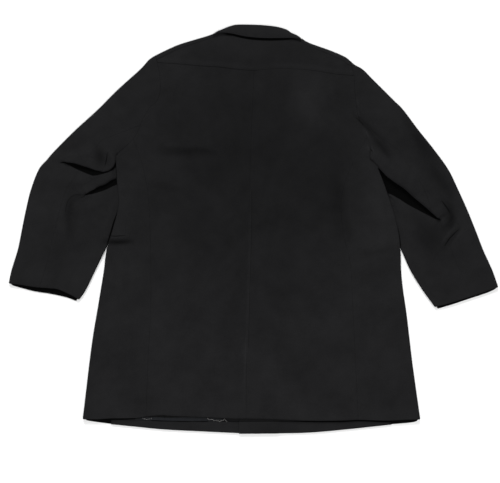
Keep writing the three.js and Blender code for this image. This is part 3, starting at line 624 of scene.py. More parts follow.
def right_front_lower(at):
    """The level of the right front, lifted where the left one lies under it."""
    low, high = LEFT["front_hem"][-1], LEFT["neckline"][-1]
    edge = np.interp(at[..., 1], [low[1], high[1]], [low[0], high[0]])
    past = np.maximum(at[..., 0] - edge - FLY_HOLD, 0)
    return np.maximum(body_lower(at), REST_LEVEL + FLY_LIFT * fade(past, FLY_REACH))


# %% [markdown]
# ## Overhanging creases
# The deep creases of the sleeves aren't bumps. The cloth runs to a lip, turns under itself, and comes out
# again lower down, which puts the cloth below the lip in shadow from above. A height can't do that, because
# each point of the plan has only one height. So the grid is also pushed sideways: across each crease the
# cloth follows an S-shaped section, opened at the ends of the crease. Each crease has the lip's line, how
# wide the hollow below it gapes at each point of the line, and on which side of the line the lip lies. Its
# reach is how far from the line it moves the cloth, and its rise and drop are how high the lip and how deep
# the hollow go. The hollow under each lip is also painted black, as painted shadow.

# %% The deep creases of the sleeves
CREASES = [
    {"at": "left sleeve, upper crease", "lip_side": (0, 1), "reach": 24, "rise": 5.0, "drop": 2.6,
     "line": [[-487, 160], [-464, 163], [-450, 162.5], [-437, 160.5], [-425, 157], [-413, 153], [-400, 149],
              [-388, 144.5], [-376, 141.5], [-364, 139], [-351, 143], [-342, 153], [-336, 168]],
     "gape": [-2, 2.5, 7.5, 12, 14, 15, 16.5, 16, 11, 3.5, 2.5, 5, 7]},
    {"at": "left sleeve, lower crease", "lip_side": (0, 1), "reach": 19, "rise": 4.0, "drop": 2.6,
     "line": [[-411, 84], [-401, 91], [-388, 98], [-376, 104], [-364, 108], [-351, 114.5], [-334, 122.5]],
     "gape": [2, 8.5, 11.5, 14, 13, 13, 13]},
    {"at": "right sleeve, the opening fold", "lip_side": (1, 1), "reach": 38, "rise": 7.0, "drop": 3.2,
     "line": [[292, 166], [321, 133], [343, 115.5], [368, 98.5], [390, 78.5], [422, 51.5], [446, 30],
              [462, 17]],
     "gape": [30, 32, 31, 29, 24, 15.5, 7, -2]},
]
# Each row is one place on the cloth, as a share of the reach: -1 is out on the hollow's side and 1 is out
# on the lip's side. The next four say where it goes: its distance from the lip, as a share of the reach
# plus a share of the gape plus millimetres under the lip, and its level, as a share of the rise or drop.
CREASE_SECTION = [
    (-1.00, -1.0, 0.0, 0.0, 0.0),
    (-0.75, -0.35, -0.70, 0.0, 0.1),
    (-0.55, -0.10, -0.95, 0.0, 0.15),
    (-0.35, 0.0, -0.45, 1.0, -0.75),
    (-0.15, 0.0, 0.0, 5.0, -1.0),
    (0.00, 0.0, 0.0, 6.0, -0.5),
    (0.15, 0.0, 0.0, 2.5, 0.35),
    (0.28, 0.0, 0.0, 0.0, 0.85),
    (0.42, 0.08, 0.0, 1.0, 1.0),
    (0.70, 0.55, 0.0, 0.0, 0.55),
    (1.00, 1.0, 0.0, 0.0, 0.0),
]
LIP_STARTS = 0.27  # the cloth is out of the hollow from this share of the reach
FULL_CREASE = 5    # mm of gape at which a crease has its full height
FULL_UNDER = 10    # and at which its cloth lies fully under the lip


def crease_cloth(at, crease):
    """Sideways shift, lift, and depth inside the hollow, which is painted black as shadow, that one crease
    gives to plan points.
    """
    run = run_through(crease["line"], density=8)
    distance, signed, share, square = beside_line(run, at, crease["lip_side"])
    on_cloth, kept, gaping, under, rise = np.array(CREASE_SECTION).T
    q = np.clip(signed / crease["reach"], -1, 1)
    gape = np.interp(share, shares_of(np.array(crease["line"], float)), crease["gape"])
    strength = np.clip(gape / FULL_CREASE, 0, 1) * (distance < crease["reach"])
    gape = np.maximum(gape, 0)
    place = np.interp(q, on_cloth, kept) * crease["reach"] + np.interp(q, on_cloth, gaping) * gape \
        + np.interp(q, on_cloth, under) * np.clip(gape / FULL_UNDER, 0, 1)
    shift = ((place - signed) * strength)[..., None] * square
    level = np.interp(q, on_cloth, rise)
    lift = level * np.where(level > 0, crease["rise"], crease["drop"]) * strength
    ends_at = signed + (place - signed) * strength
    hollow = np.minimum(ends_at + gape, (LIP_STARTS * strength - q) * crease["reach"])
    return shift, lift, np.where(strength > 0, hollow, OUTSIDE)


# The painted shadow in the narrow hollow where the body's edge lies over a sleeve: side, stretch of its edge,
# widths in mm.
BODY_HOLLOWS = [
    (LEFT, (0, 2), [0.5, 2.0, 1.5]),
    (LEFT, (2, 5), [-2.0, 1.0, 4.5, 5.0, 5.0, 4.0]),
    (RIGHT, (0, 3), [2.0, 2.5, 0.5]),
    (RIGHT, (2, 5), [0.3, 1.2, 2.8, 3.5]),
]
PRESSED_OUT = 0.8  # share of a crease's height that goes where the body presses on it


def crease_all(at, height):
    """Places a sleeve's upper layer in space, with its overhanging creases, and finds its hollows, which are
    painted as shadow.
    """
    place = np.concatenate([at, height[..., None]], axis=-1)
    hollow = np.full(at.shape[:-1], OUTSIDE)
    flat = fade(away_from_tuck(at), TUCK_REACH)
    for crease in CREASES:
        shift, lift, depth = crease_cloth(at, crease)
        place[..., :2] += shift
        place[..., 2] += lift * (1 - PRESSED_OUT * flat)
        hollow = np.maximum(hollow, depth)
    place[..., 2] = np.maximum(place[..., 2], LOWEST_UPPER_LAYER)
    # Painted shadow on the sleeve just beside the body's edge.
    for side, stretch, widths in BODY_HOLLOWS:
        edge = side["side_edge"][stretch[0]:stretch[1]]
        hollow = np.maximum(hollow, under_edge(place[..., :2], edge, widths, (np.sign(edge[0][0]), 0)))
    return place, hollow


print("overhanging creases:", [crease["at"] for crease in CREASES])

# %% [markdown]
# ## From grid to cloth
# A panel's grid lies in the middle of the cloth. Its faces are moved out by half the wall on both sides
# and joined by a rim, so each piece is closed, as the solid under it is. Solidify would do this as well.
# Doing it here keeps the fold at a panel's edge, the seam's dip and the panel's own UV map in one place.

# %% Grids into closed cloth
MM = 0.001


def normals_of(grid):
    """Unit normals of a grid of points. Places left empty are nan."""
    a, b = grid[:-1, :-1], grid[:-1, 1:]
    c, d = grid[1:, 1:], grid[1:, :-1]
    cell = np.nan_to_num(np.cross(c - a, b - d))
    total = np.zeros_like(grid)
    total[:-1, :-1] += cell
    total[:-1, 1:] += cell
    total[1:, 1:] += cell
    total[1:, :-1] += cell
    size = np.linalg.norm(total, axis=-1, keepdims=True)
    return total / np.where(size == 0, 1, size)


def from_edge(grid, edge):
    """Distance over the cloth from one edge of a grid."""
    axis = 0 if edge in ("top", "bottom") else 1
    flip = edge in ("bottom", "end")
    ordered = np.flip(grid, axis) if flip else grid
    steps = np.nan_to_num(np.linalg.norm(np.diff(ordered, axis=axis), axis=-1))
    pad = [(1, 0), (0, 0)] if axis == 0 else [(0, 0), (1, 0)]
    total = np.cumsum(np.pad(steps, pad), axis=axis)
    return np.flip(total, axis) if flip else total


PRESS_REACH = 2.6


def press(grid, edges, depth):
    """Rolls the named edges of a grid down, as a pressed seam does."""
    normal = normals_of(grid)
    upward = np.where(np.nanmean(normal[..., 2]) < 0, -1, 1)
    dip = sum(np.exp(-(from_edge(grid, edge) / PRESS_REACH) ** 2) for edge in edges)
    return grid - depth * upward * dip[..., None] * normal


# %% A grid's cells and rim
FREE_RIM = 0.32    # how far a free rim is rounded, as a share of the wall
SEWN_RIM = 0.03    # and one that is sewn to its neighbour
RIM_FLAT = 0.2
LAYERS_PART_AT = 4.0


def right_side(grid):
    """Normals on the right side of the cloth: up in the upper layers and down in the lower ones."""
    normal = normals_of(grid)
    return -normal if np.nansum(normal[..., 2] * (grid[..., 2] - LAYERS_PART_AT)) < 0 else normal


def cells_of(filled):
    """The point at each corner of each cell, and which cells have all four."""
    index = np.full(filled.shape, -1)
    index[filled] = np.arange(filled.sum())
    corners = np.stack([index[:-1, :-1], index[:-1, 1:], index[1:, 1:], index[1:, :-1]], axis=-1)
    return corners, (corners >= 0).all(axis=-1)


def rim_of(points, corners, whole):
    """The edges round the whole cells, and the direction out of the cloth at each point."""
    rows, columns = whole.shape
    padded = np.pad(whole, 1)
    edges, outward = [], np.zeros_like(points)
    for down, right, a, b, beside_a, beside_b in ((-1, 0, 0, 1, 3, 2), (0, 1, 1, 2, 0, 3),
                                                  (1, 0, 2, 3, 1, 0), (0, -1, 3, 0, 2, 1)):
        neighbour = padded[1 + down:1 + down + rows, 1 + right:1 + right + columns]
        lone = corners[whole & ~neighbour]
        edges.append(lone[:, [a, b]])
        for at, beside in ((a, beside_a), (b, beside_b)):
            np.add.at(outward, lone[:, at], points[lone[:, at]] - points[lone[:, beside]])
    size = np.linalg.norm(outward, axis=1, keepdims=True)
    return np.vstack(edges), outward / np.where(size == 0, 1, size)


# %% The marks that the materials read
def on_layers(outer, inner, rim):
    """Values for a whole wall: its right side, its inside, and the two rings of its rim."""
    return np.concatenate([outer, inner, outer[rim], (outer[rim] + inner[rim]) / 2])


def mark(mesh, grid, filled, faces_up, rim, shade, hollow, inner_shade):
    """Keeps on a mesh its map in metres of cloth, its painted shade, and its hollows and creases painted as
    shadow.
    """
    uv = np.stack([from_edge(grid, "start"), from_edge(grid, "top")], axis=-1)[filled] * MM
    loops = np.zeros(len(mesh.loops), int)
    mesh.loops.foreach_get("vertex_index", loops)
    mesh.uv_layers.new(name="cloth").data.foreach_set("uv", on_layers(uv, uv, rim)[loops].ravel())
    at = np.nan_to_num(grid[..., :2])
    none = np.full(faces_up.shape, OUTSIDE)
    outer = (painted_shade(at) if shade is None else shade)[filled] * faces_up
    inner = np.broadcast_to(inner_shade, filled.shape)[filled]
    depth = none if hollow is None else np.where(faces_up, hollow[filled], OUTSIDE)
    beside, half_width = sharp_creases(at[filled])
    half_width = np.where(faces_up, half_width, OUTSIDE)
    for label, values, within in (("shade", outer, inner), ("hollow", depth, none),
                                  ("beside crease", beside, beside),
                                  ("crease width", half_width, half_width)):
        kept = mesh.attributes.new(label, "FLOAT", "POINT")
        kept.data.foreach_set("value", on_layers(values, within, rim))


# %% The closed wall
cut_grids = {}


def cloth(name, grid, free=(), shade=None, hollow=None, inner_shade=0.0, wall=WALL):
    """Makes a closed, marked wall of cloth from a grid of points in mm."""
    cut_grids[name] = grid
    filled = np.isfinite(grid).all(axis=-1)
    points, normal = grid[filled], right_side(grid)[filled]
    count = len(points)
    corners, whole = cells_of(filled)
    quads = corners[whole]
    edges, outward = rim_of(points, corners, whole)
    rim = np.unique(edges)
    turn = np.cross(points[quads[:, 1]] - points[quads[:, 0]], points[quads[:, 3]] - points[quads[:, 0]])
    if np.sum(turn * normal[quads[:, 0]]) < 0:
        quads, edges = quads[:, ::-1], edges[:, ::-1]

    is_free = np.zeros(filled.shape, bool)
    for edge in free:
        is_free |= from_edge(grid, edge) == 0
    faces_out = points - outward * (np.where(is_free, FREE_RIM, SEWN_RIM)[filled][:, None] * wall)
    layers = [faces_out + normal * wall / 2, faces_out - normal * wall / 2,
              (points + normal * wall * RIM_FLAT)[rim], (points - normal * wall * RIM_FLAT)[rim]]

    on_rim = np.full(count, -1)
    on_rim[rim] = 2 * count + np.arange(len(rim))
    rings = [edges.T, on_rim[edges.T], on_rim[edges.T] + len(rim), edges.T + count]
    strips = [np.stack([high[1], high[0], low[0], low[1]], axis=-1) for high, low in zip(rings, rings[1:])]
    faces = np.vstack([quads, quads[:, ::-1] + count, *strips])
    mesh = bpy.data.meshes.new(name)
    mesh.from_pydata((np.vstack(layers) * MM).tolist(), [], faces.tolist())
    mark(mesh, grid, filled, normal[:, 2] > 0, rim, shade, hollow, inner_shade)
    mesh.shade_smooth()
    piece = bpy.data.objects.new(name, mesh)
    bpy.context.scene.collection.objects.link(piece)
    area = sum(face.area for face in mesh.polygons) / 2
    print(f"{name}: {len(mesh.polygons)} faces, {area:.4f} m2 of cloth")
    return piece


# %% Folded edges and sewn edges
ROUND_STEPS = 8


def round_edge(upper, lower, away):
    """The points round a folded edge, between the edges of its upper and lower layers."""
    radius = ((upper[..., 2] - lower[..., 2]) / 2)[..., None]
    turns = np.pi * (0.5 - np.arange(1, ROUND_STEPS) / ROUND_STEPS)
    around = [(upper + lower) / 2 + radius * np.concatenate(
        [away * np.cos(turn), np.full((*away.shape[:-1], 1), np.sin(turn))], axis=-1) for turn in turns]
    return np.stack(around, axis=-2)


def fold_line(edge, beside, above, below, first_away=None):
    """Draws an outline back to where its fold begins to turn."""
    away = -square_to(edge, beside)
    if first_away is not None:
        away[0] = first_away
    near = edge - away * WALL * 2
    radius = (above(near) - below(near)) / 2
    return edge - away * (radius + SOLID_WALL / 2)[:, None], away


def lifted(plan, height):
    """A plan grid with the height of its layer."""
    return np.concatenate([plan, height(plan)[..., None]], axis=-1)


MOVE_REACH = 0.15  # the share of a run over which the move of its end fades out


def moved_ends(run, first=None, last=None):
    """A run whose ends are moved to given points. The move fades out along the run."""
    share = shares_of(run)[:, None]
    moved = run.copy()
    if first is not None:
        moved += np.clip(1 - share / MOVE_REACH, 0, 1) * (first - run[0])
    if last is not None:
        moved += np.clip(1 - (1 - share) / MOVE_REACH, 0, 1) * (last - run[-1])
    return moved


def drawn_back(plan, edges, back=SEAM / 2):
    """Draws the named edges of a plan grid back, by half a seam where nothing else is said."""
    plan = plan.copy()
    runs = {"top": (plan[0], plan[1]), "bottom": (plan[-1], plan[-2]),
            "start": (plan[:, 0], plan[:, 1]), "end": (plan[:, -1], plan[:, -2])}
    shifts = [(runs[edge][0], square_to(runs[edge][0].copy(), runs[edge][1]) * back) for edge in edges]
    for run, shift in shifts:
        run += shift
    return plan


# %% [markdown]
# ## The body
# The back is cut in two panels, joined at the centre. A lapped yoke covers the shoulders. A side panel
# runs round each side fold from the back to the front, and the two fronts lie on the floor, lapped at the
# centre. Each panel is filled in between its own seams, so neighbours meet along the same line.

# %% Seam lines used by more than one panel
HEM_STEPS = 150
SHOULDER_STEPS = 44
TOWARDS_HEM = (0, -50)
LENGTH = spaced(HEM_STEPS, length=640)


def seam_runs(side):
    """The long seams of one half of the coat, row by row, and its shoulder's fold and seam."""
    away = np.array(side["shoulder"][0], float) - np.array(side["armhole_back"][0], float)
    runs = {"away": away / np.linalg.norm(away)}
    for name in ("side_back_seam", "side_edge", "side_front_seam"):
        runs[name] = drawn(side[name], LENGTH)
    shoulder = drawn(side["shoulder"], np.linspace(0, 1, SHOULDER_STEPS + 1))
    below = shoulder + TOWARDS_HEM
    fold, fold_away = fold_line(shoulder, below, body_upper, body_lower, runs["away"])
    depth = np.linspace(SHOULDER_SEAM_AT_TIP, SHOULDER_SEAM_AT_NECK, SHOULDER_STEPS + 1)[:, None]
    seam = fold - fold_away * depth
    seam[-1] = side["neck_point"]
    runs.update(shoulder_fold=fold, shoulder_away=fold_away, shoulder_seam=seam)
    return runs


SEAMS = {name: seam_runs(side) for name, side in SIDES.items()}
print("side fold, mm:", [round(length_of(run["side_edge"])) for run in SEAMS.values()])


# %% Back panels
BACK_ROWS = 190
BACK_COLUMNS = 58
PRESSED_SEAM = 0.22  # how far the cloth dips at a pressed seam of the body


def back_panel(name):
    """A back panel, from the yoke to the hem and from the centre seam to the side-back seam."""
    side = SIDES[name]
    outer_line = run_through(side["armhole_back"], side["side_back_seam"])
    corner = length_of(run_through(side["armhole_back"])) / length_of(outer_line)
    down = spaced(BACK_ROWS, length=860, close_at=(True, False), through=[corner])
    across = spaced(BACK_COLUMNS, length=250)
    plan = fill(drawn(side["yoke_seam"], across), drawn(side["back_hem"], across),
                drawn(CENTRE_BACK, down), along(outer_line, down))
    grid = lifted(drawn_back(plan, ["top", "start", "end"]), body_upper)
    return cloth(f"wool_back_{name}", press(grid, ["start", "end"], PRESSED_SEAM), free=["bottom"])


back_panels = {name: back_panel(name) for name in SIDES}


# %% Side panels
SIDE_COLUMNS, UNDERSIDE_COLUMNS = 34, 16
# Painted shadow on the inside of a side panel, which shows only below the back's hem.
SIDE_INSIDE_SHADE = 0.85


def side_panel(name):
    """A side panel, from its back seam round the side fold to its front seam."""
    side, runs = SIDES[name], SEAMS[name]
    fold, away = fold_line(runs["side_edge"], runs["side_back_seam"], body_upper, body_lower)
    above = spaced(SIDE_COLUMNS, length=110, close_at=(True, False))
    under = spaced(UNDERSIDE_COLUMNS, length=60, close_at=(False, True))
    top = moved_ends(drawn(side["armhole_side"], above), last=fold[0])
    hem = moved_ends(drawn(side["side_back_hem"], above), last=fold[-1])
    upper = drawn_back(fill(top, hem, runs["side_back_seam"], fold), ["top", "start"])
    top = moved_ends(drawn(side["armhole_under"], under), first=fold[0])
    hem = moved_ends(drawn(side["side_front_hem"], under), first=fold[-1])
    lower = drawn_back(fill(top, hem, fold, runs["side_front_seam"]), ["top", "end"])
    upper, lower = lifted(upper, body_upper), lifted(lower, body_lower)
    grid = np.concatenate([upper, round_edge(upper[:, -1], lower[:, 0], away), lower], axis=1)
    return cloth(f"wool_side_{name}", press(grid, ["start"], PRESSED_SEAM), free=["bottom"],
                 inner_shade=SIDE_INSIDE_SHADE)


side_panels = {name: side_panel(name) for name in SIDES}


# %% The hem of the fronts
HEM_TURN_UP = {"left": 25.0, "right": 27.0}
TURN_UP_RISE = 2.4
TURN_STEPS, TURN_UP_ROWS = 5, 11
# Widths in mm of the painted shadow line below the back's hem, at stations along it.
HEM_HOLLOW = {"left": [4.5, 3.3, 2.2, 3.0, 7.0, 2.5, 4.8, 4.5, 4.0],
              "right": [4.5, 3.2, 4.2, 4.8, 5.4, 5.0, 6.4, 6.0]}
# The line of the painted shadow just below the lining's edge, and how wide it is.
LINING_SHADOW_LINE = [[-250, -468.5], [-190, -470.5], [-110, -471]]
LINING_SHADOW_WIDTH = 1.6
HEM_HOLLOW_DEPTH = 500  # all of a front that lies under the back is painted dark, as shadow


def hem_hollow(name, at):
    """The painted shadow on the fronts: a dark line just below the hem of the back."""
    side = SIDES[name]
    line = side["back_hem"] + side["side_back_hem"][1:]
    return under_edge(at, line, HEM_HOLLOW[name], (0, -1), HEM_HOLLOW_DEPTH)


def lining_edge_shadow(at):
    """The painted shadow on the left front just below the lining's edge, seen as a second dark line."""
    return LINING_SHADOW_WIDTH - nearest(run_through(LINING_SHADOW_LINE), at)[0]


def turned_up_hem(below, turn_up):
    """The rows of a hem that is turned up inside: round its fold, and back towards the waist."""
    away = -square_to(below[-1, :, :2], below[-2, :, :2])
    away = np.concatenate([away, 0 * away[:, :1]], axis=1)
    radius = TURN_UP_RISE / 2
    start = below[-1] - away * radius
    rows = [start]
    for turn in np.linspace(0, np.pi, TURN_STEPS + 1)[1:]:
        rows.append(start + away * np.sin(turn) * radius + np.array([0, 0, radius * (1 - np.cos(turn))]))
    last = rows[-1]
    shares = np.linspace(0, 1, TURN_UP_ROWS + 1)[1:]
    rows += [last + np.array([0, turn_up, 0]) * share for share in shares]
    return np.stack(rows)


# %% Fronts
FRONT_ROWS, NECK_COLUMNS = 96, 24
# Painted shade on the inside of a front.
FRONT_INSIDE_SHADE = 0.2


def front_panel(name):
    """A front, from the shoulder seam round the shoulder's fold and down to the turned-up hem."""
    side, runs = SIDES[name], SEAMS[name]
    fold, away = runs["shoulder_fold"], runs["shoulder_away"]
    neck = drawn(side["neckline"], np.linspace(0, 1, NECK_COLUMNS + 1))
    top = np.vstack([fold, neck[1:]])
    outer_line = np.vstack([fold[:1], run_through(side["armhole_front"], side["side_front_seam"])])
    corner = 1 - length_of(run_through(side["side_front_seam"])) / length_of(outer_line)
    down = spaced(FRONT_ROWS, length=900, close_at=(False, False), through=[corner])
    hem = drawn(side["front_hem"], np.linspace(0, 1, len(top)))
    edge = top[-1] + (hem[-1] - top[-1]) * down[:, None]
    plan = drawn_back(fill(top, hem, along(outer_line, down), edge), ["start"])
    below = lifted(plan, body_lower if name == "left" else right_front_lower)
    seam = runs["shoulder_seam"]
    above = lifted(np.stack([seam, (seam + fold) / 2, fold]), body_upper)
    turned = np.moveaxis(round_edge(above[-1], below[0, :len(fold)], away), -2, 0)
    head = np.concatenate([above, turned])
    blank = np.full((len(head), below.shape[1] - head.shape[1], 3), np.nan)
    grid = np.concatenate([np.concatenate([head, blank], axis=1), below[:-1],
                           turned_up_hem(below, HEM_TURN_UP[name])])
    at = grid[..., :2]
    # Painted shadow below the back's hem, below the lining's edge and below the collar's edge.
    hollow = np.maximum.reduce([hem_hollow(name, at), lining_edge_shadow(at),
                                under_edge(at, COLLAR_EDGE, COLLAR_HOLLOW, (0, -1))])
    return cloth(f"wool_front_{name}", grid, free=["bottom", "end"], shade=np.zeros(at.shape[:2]),
                 hollow=hollow, inner_shade=FRONT_INSIDE_SHADE)


front_panels = {name: front_panel(name) for name in SIDES}


# %% Yoke
YOKE_ROWS, YOKE_COLUMNS = 20, 150
LAP_PLACES = [-235, -60, 20, 60, 120, 245]
LAP_RISE = [0.8, 0.85, 0.1, 0.1, 0.35, 0.7]
LAP_REACH = 9
YOKE_SEAM_DIP = 0.3
PAINTED_HIGHLIGHT, HIGHLIGHT_REACH = 0.1, 4  # a painted highlight just above the topstitching, where the lap's ridge catches the light: how much lighter, and how far


def yoke_panel():
    """The yoke. Its lower edge laps over the back, standing up by the lap's rise at each place."""
    left, right = SEAMS["left"], SEAMS["right"]
    across, down = np.linspace(0, 1, YOKE_COLUMNS + 1), spaced(YOKE_ROWS, length=80)
    neck = run_through(NECK_SEAM)[1:-1]
    top = along(np.vstack([left["shoulder_seam"], neck, right["shoulder_seam"][::-1]]), across)
    seam = [run_through(LEFT["yoke_seam"])[::-1], run_through(RIGHT["yoke_seam"])[1:]]
    bottom = along(np.vstack(seam), across)
    start, end = (along(np.array([top[k], bottom[k]]), down) for k in (0, -1))
    plan = drawn_back(fill(top, bottom, start, end), ["top", "start", "end"])
    grid = press(lifted(plan, body_upper), ["start", "end"], YOKE_SEAM_DIP)
    lap = np.exp(-(from_edge(grid, "bottom") / LAP_REACH) ** 2)
    grid[..., 2] += np.interp(grid[..., 0], LAP_PLACES, LAP_RISE) * lap
    at = grid[..., :2]
    # A painted highlight just above the topstitching.
    above_stitches = (from_edge(grid, "bottom") - LAP_REACH) / HIGHLIGHT_REACH
    shade = painted_shade(at) - PAINTED_HIGHLIGHT * np.exp(-above_stitches ** 2)
    # The painted shadow below the collar's edge.
    hollow = under_edge(at, COLLAR_EDGE, COLLAR_HOLLOW, (0, -1))
    return cloth("wool_back_yoke", grid, shade=shade, hollow=hollow)


yoke = yoke_panel()

# %% [markdown]
# ## The sleeves
# A tailored sleeve has two parts. The seam at the back of the arm runs down its upper layer here, and the
# other seam is underneath. Each part goes round one edge of the flattened sleeve. The rows near the
# armhole first turn from the curve of the armhole to straight across the arm, along a guide line.

# %% The rows and columns of a sleeve
ARMHOLE_ROWS = 60
ARM_ROWS = 184
ARM_COLUMNS = 118
UNDER_COLUMNS = 30
CREASED_ROWS = 16 / 21     # share of the arm's rows that the creased stretch takes
SLEEVE_EDGES = {
    # edge: its share at the guide line, and where the creased stretch ends
    "sleeve_outer": (0.28, 0.7),
    "sleeve_inner": (0.1, 0.5),
}
STATIONS = np.array([0, 1, 7, 11, 14]) / 14  # where one stretch of the armhole gives way to the next
STRETCHES = ("back", "side", "under")
SEAM_COLUMN = 6 / 14       # where the back-of-arm seam meets the cuff
SEAM_STEPS = (-0.008, -0.004, 0, 0.004, 0.008)
UNDER_SEAM_COLUMN = 2 / 5
SLEEVE_SEAM_DIP = 0.12
SLEEVE_INSIDE_SHADE = 0.9  # the inside of a sleeve is its black lining, and is painted far darker still, as the shadow inside the sleeve


def edge_rows(side, edge):
    """One edge of a sleeve, row by row: the rows of the head, then those of the arm."""
    at_guide, after_creases = SLEEVE_EDGES[edge]
    head, arm = np.linspace(0, 1, ARMHOLE_ROWS + 1), np.linspace(0, 1, ARM_ROWS + 1)[1:]
    arm = np.interp(arm, [0, CREASED_ROWS, 1], [at_guide, after_creases, 1])
    return drawn(side[edge], np.concatenate([at_guide * head, arm]))


def across_arm(side, line, first, shares):
    """Points across the arm along the armhole or the guide line, stretch by stretch."""
    runs = [np.array([first, side[f"{line}_back"][0]])]
    runs += [run_through(side[f"{line}_{stretch}"]) for stretch in STRETCHES]
    points = np.zeros((len(shares), 2))
    for run, low, high in zip(runs, STATIONS, STATIONS[1:]):
        chosen = (shares >= low - 1e-9) & (shares <= high + 1e-9)
        points[chosen] = along(run, (shares[chosen] - low) / (high - low))
    return points


def upper_plan_of(side, outer, inner, shares):
    """The plan of a sleeve's upper layer, between its two folds."""
    top = moved_ends(across_arm(side, "armhole", outer[0], shares), outer[0], inner[0])
    row = ARMHOLE_ROWS
    guide = moved_ends(across_arm(side, "guide", outer[row], shares), outer[row], inner[row])
    cuff = moved_ends(drawn(side["upper_cuff"], shares), outer[-1], inner[-1])
    head = fill(top, guide, outer[:row + 1], inner[:row + 1])
    arm = fill(guide, cuff, outer[row:], inner[row:])
    return np.vstack([head, arm[1:]])


def lower_plan_of(side, outer, inner):
    """The plan of a sleeve's lower layer, which lies on the floor."""
    shares = np.linspace(0, 1, UNDER_COLUMNS + 1)
    top = along(np.vstack([outer[:1], run_through(side["armhole_front"])]), shares)
    cuff = drawn(side["lower_cuff"], shares)
    ends = np.array([outer[-1][0], cuff[0][1]]), np.array([inner[-1][0], cuff[-1][1]])
    return fill(moved_ends(top, outer[0], inner[0]), moved_ends(cuff, *ends), outer, inner)


# %% Sleeves
def sleeve_parts(name):
    """A sleeve's two parts. Each runs from the back-of-arm seam round one fold to the seam underneath."""
    side, runs = SIDES[name], SEAMS[name]
    outer, inner = (edge_rows(side, edge) for edge in SLEEVE_EDGES)
    outer_fold, outer_away = fold_line(outer, inner, sleeve_upper, sleeve_lower, runs["away"])
    inner_fold, inner_away = fold_line(inner, outer, sleeve_upper, sleeve_lower)
    outer_fold[0] = runs["shoulder_fold"][0]
    shares = spaced(ARM_COLUMNS, length=240, close_at=(False, False),
                    through=[SEAM_COLUMN + step for step in SEAM_STEPS])
    upper_plan = upper_plan_of(side, outer_fold, inner_fold, shares)
    lower_plan = lower_plan_of(side, outer_fold, inner_fold)
    seam = int(np.abs(shares - SEAM_COLUMN).argmin())
    low_seam = int(round(UNDER_SEAM_COLUMN * UNDER_COLUMNS))

    def part(label, columns, low_columns, seam_edge, away):
        plan = drawn_back(upper_plan[:, columns], ["top", seam_edge])
        upper, hollow = crease_all(plan, sleeve_upper(plan))
        lower = lifted(drawn_back(lower_plan[:, low_columns], ["top", seam_edge]), sleeve_lower)
        # Both layers are put in order from the seam above, round the fold, to the seam underneath.
        if seam_edge == "end":
            upper, hollow = upper[:, ::-1], hollow[:, ::-1]
        else:
            lower = lower[:, ::-1]
        grid = np.concatenate([upper, round_edge(upper[:, -1], lower[:, 0], away), lower], axis=1)
        pad = np.full((len(grid), grid.shape[1] - upper.shape[1]), OUTSIDE)
        return cloth(f"wool_sleeve_{name}_{label}", press(grid, ["start", "top"], SLEEVE_SEAM_DIP),
                     free=["bottom"], hollow=np.concatenate([hollow, pad], axis=1),
                     inner_shade=SLEEVE_INSIDE_SHADE)

    return {"top": part("top", slice(0, seam + 1), slice(0, low_seam + 1), "end", outer_away),
            "under": part("under", slice(seam, None), slice(low_seam, None), "start", inner_away)}


sleeves = {name: sleeve_parts(name) for name in SIDES}

# %% [markdown]
# ## The collar
# The collar's stand rises from the neck seam, rolls over, and its fall lies on the yoke. Its free edge is
# thick, because two layers are turned in there, so it casts the darkest line on the back. That shadow line
# is also painted on the yoke and the fronts below the edge, and the collar's inside is painted dark, as
# shadow, where its ends show.

# %% Collar
COLLAR_ROLL = 1.6        # radius of the roll
COLLAR_EDGE_LEVEL = 11.4
COLLAR_ARCH = 1.6        # how far the fall swells between its edge and the roll
COLLAR_UNEVEN = 1.6      # pressed less flat than the body
COLLAR_WALL = 2.4
COLLAR_SEAM_ENDS = [0.03, 0.97]
COLLAR_COLUMNS, FALL_ROWS, STAND_ROWS = 110, 14, 6
# How dark the collar is painted inside, as shadow, at each share across it: only its two ends show.
COLLAR_INSIDE = ([0, 0.07, 0.12, 0.93, 1], [0, 0.2, 0.95, 0.95, 0.3])


def level_at(level):
    """A height that is the same everywhere."""
    return lambda at: np.full(at.shape[:-1], level)


def collar_piece():
    """The collar in one run: from its free edge up to the roll, round it, and down the stand."""
    across = np.linspace(0, 1, COLLAR_COLUMNS + 1)
    seam = drawn(NECK_SEAM, np.interp(across, [0, 1], COLLAR_SEAM_ENDS))
    roll, edge = drawn(COLLAR_ROLL_LINE, across), drawn(COLLAR_EDGE, across)
    top_level = BACK_LEVEL + 2 * COLLAR_ROLL
    fold, away = fold_line(roll, seam, level_at(top_level), level_at(BACK_LEVEL))
    down = spaced(FALL_ROWS, length=36, close_at=(True, False))[:, None]
    plan = between(edge, fold, down[..., None])
    arch = COLLAR_ARCH * np.sin(np.pi * down) + COLLAR_EDGE_LEVEL * (1 - down) + top_level * down
    fall = lifted(plan, lambda at: arch + COLLAR_UNEVEN * unevenness(at))
    down = np.linspace(0, 1, STAND_ROWS + 1)[:, None, None]
    stand = lifted(drawn_back(between(fold, seam, down), ["bottom"]), level_at(BACK_LEVEL))
    turned = np.moveaxis(round_edge(fall[-1], stand[0], away), -2, 0)
    return cloth("wool_collar", np.concatenate([fall, turned, stand]), free=["top", "start", "end"],
                 inner_shade=np.interp(across, *COLLAR_INSIDE), wall=COLLAR_WALL)


collar = collar_piece()


# %% Collar stand, front ends
STAND_END = 0.78  # the stand ends at this share of the neckline
STAND_END_COLUMNS, STAND_END_ROWS = 40, 8


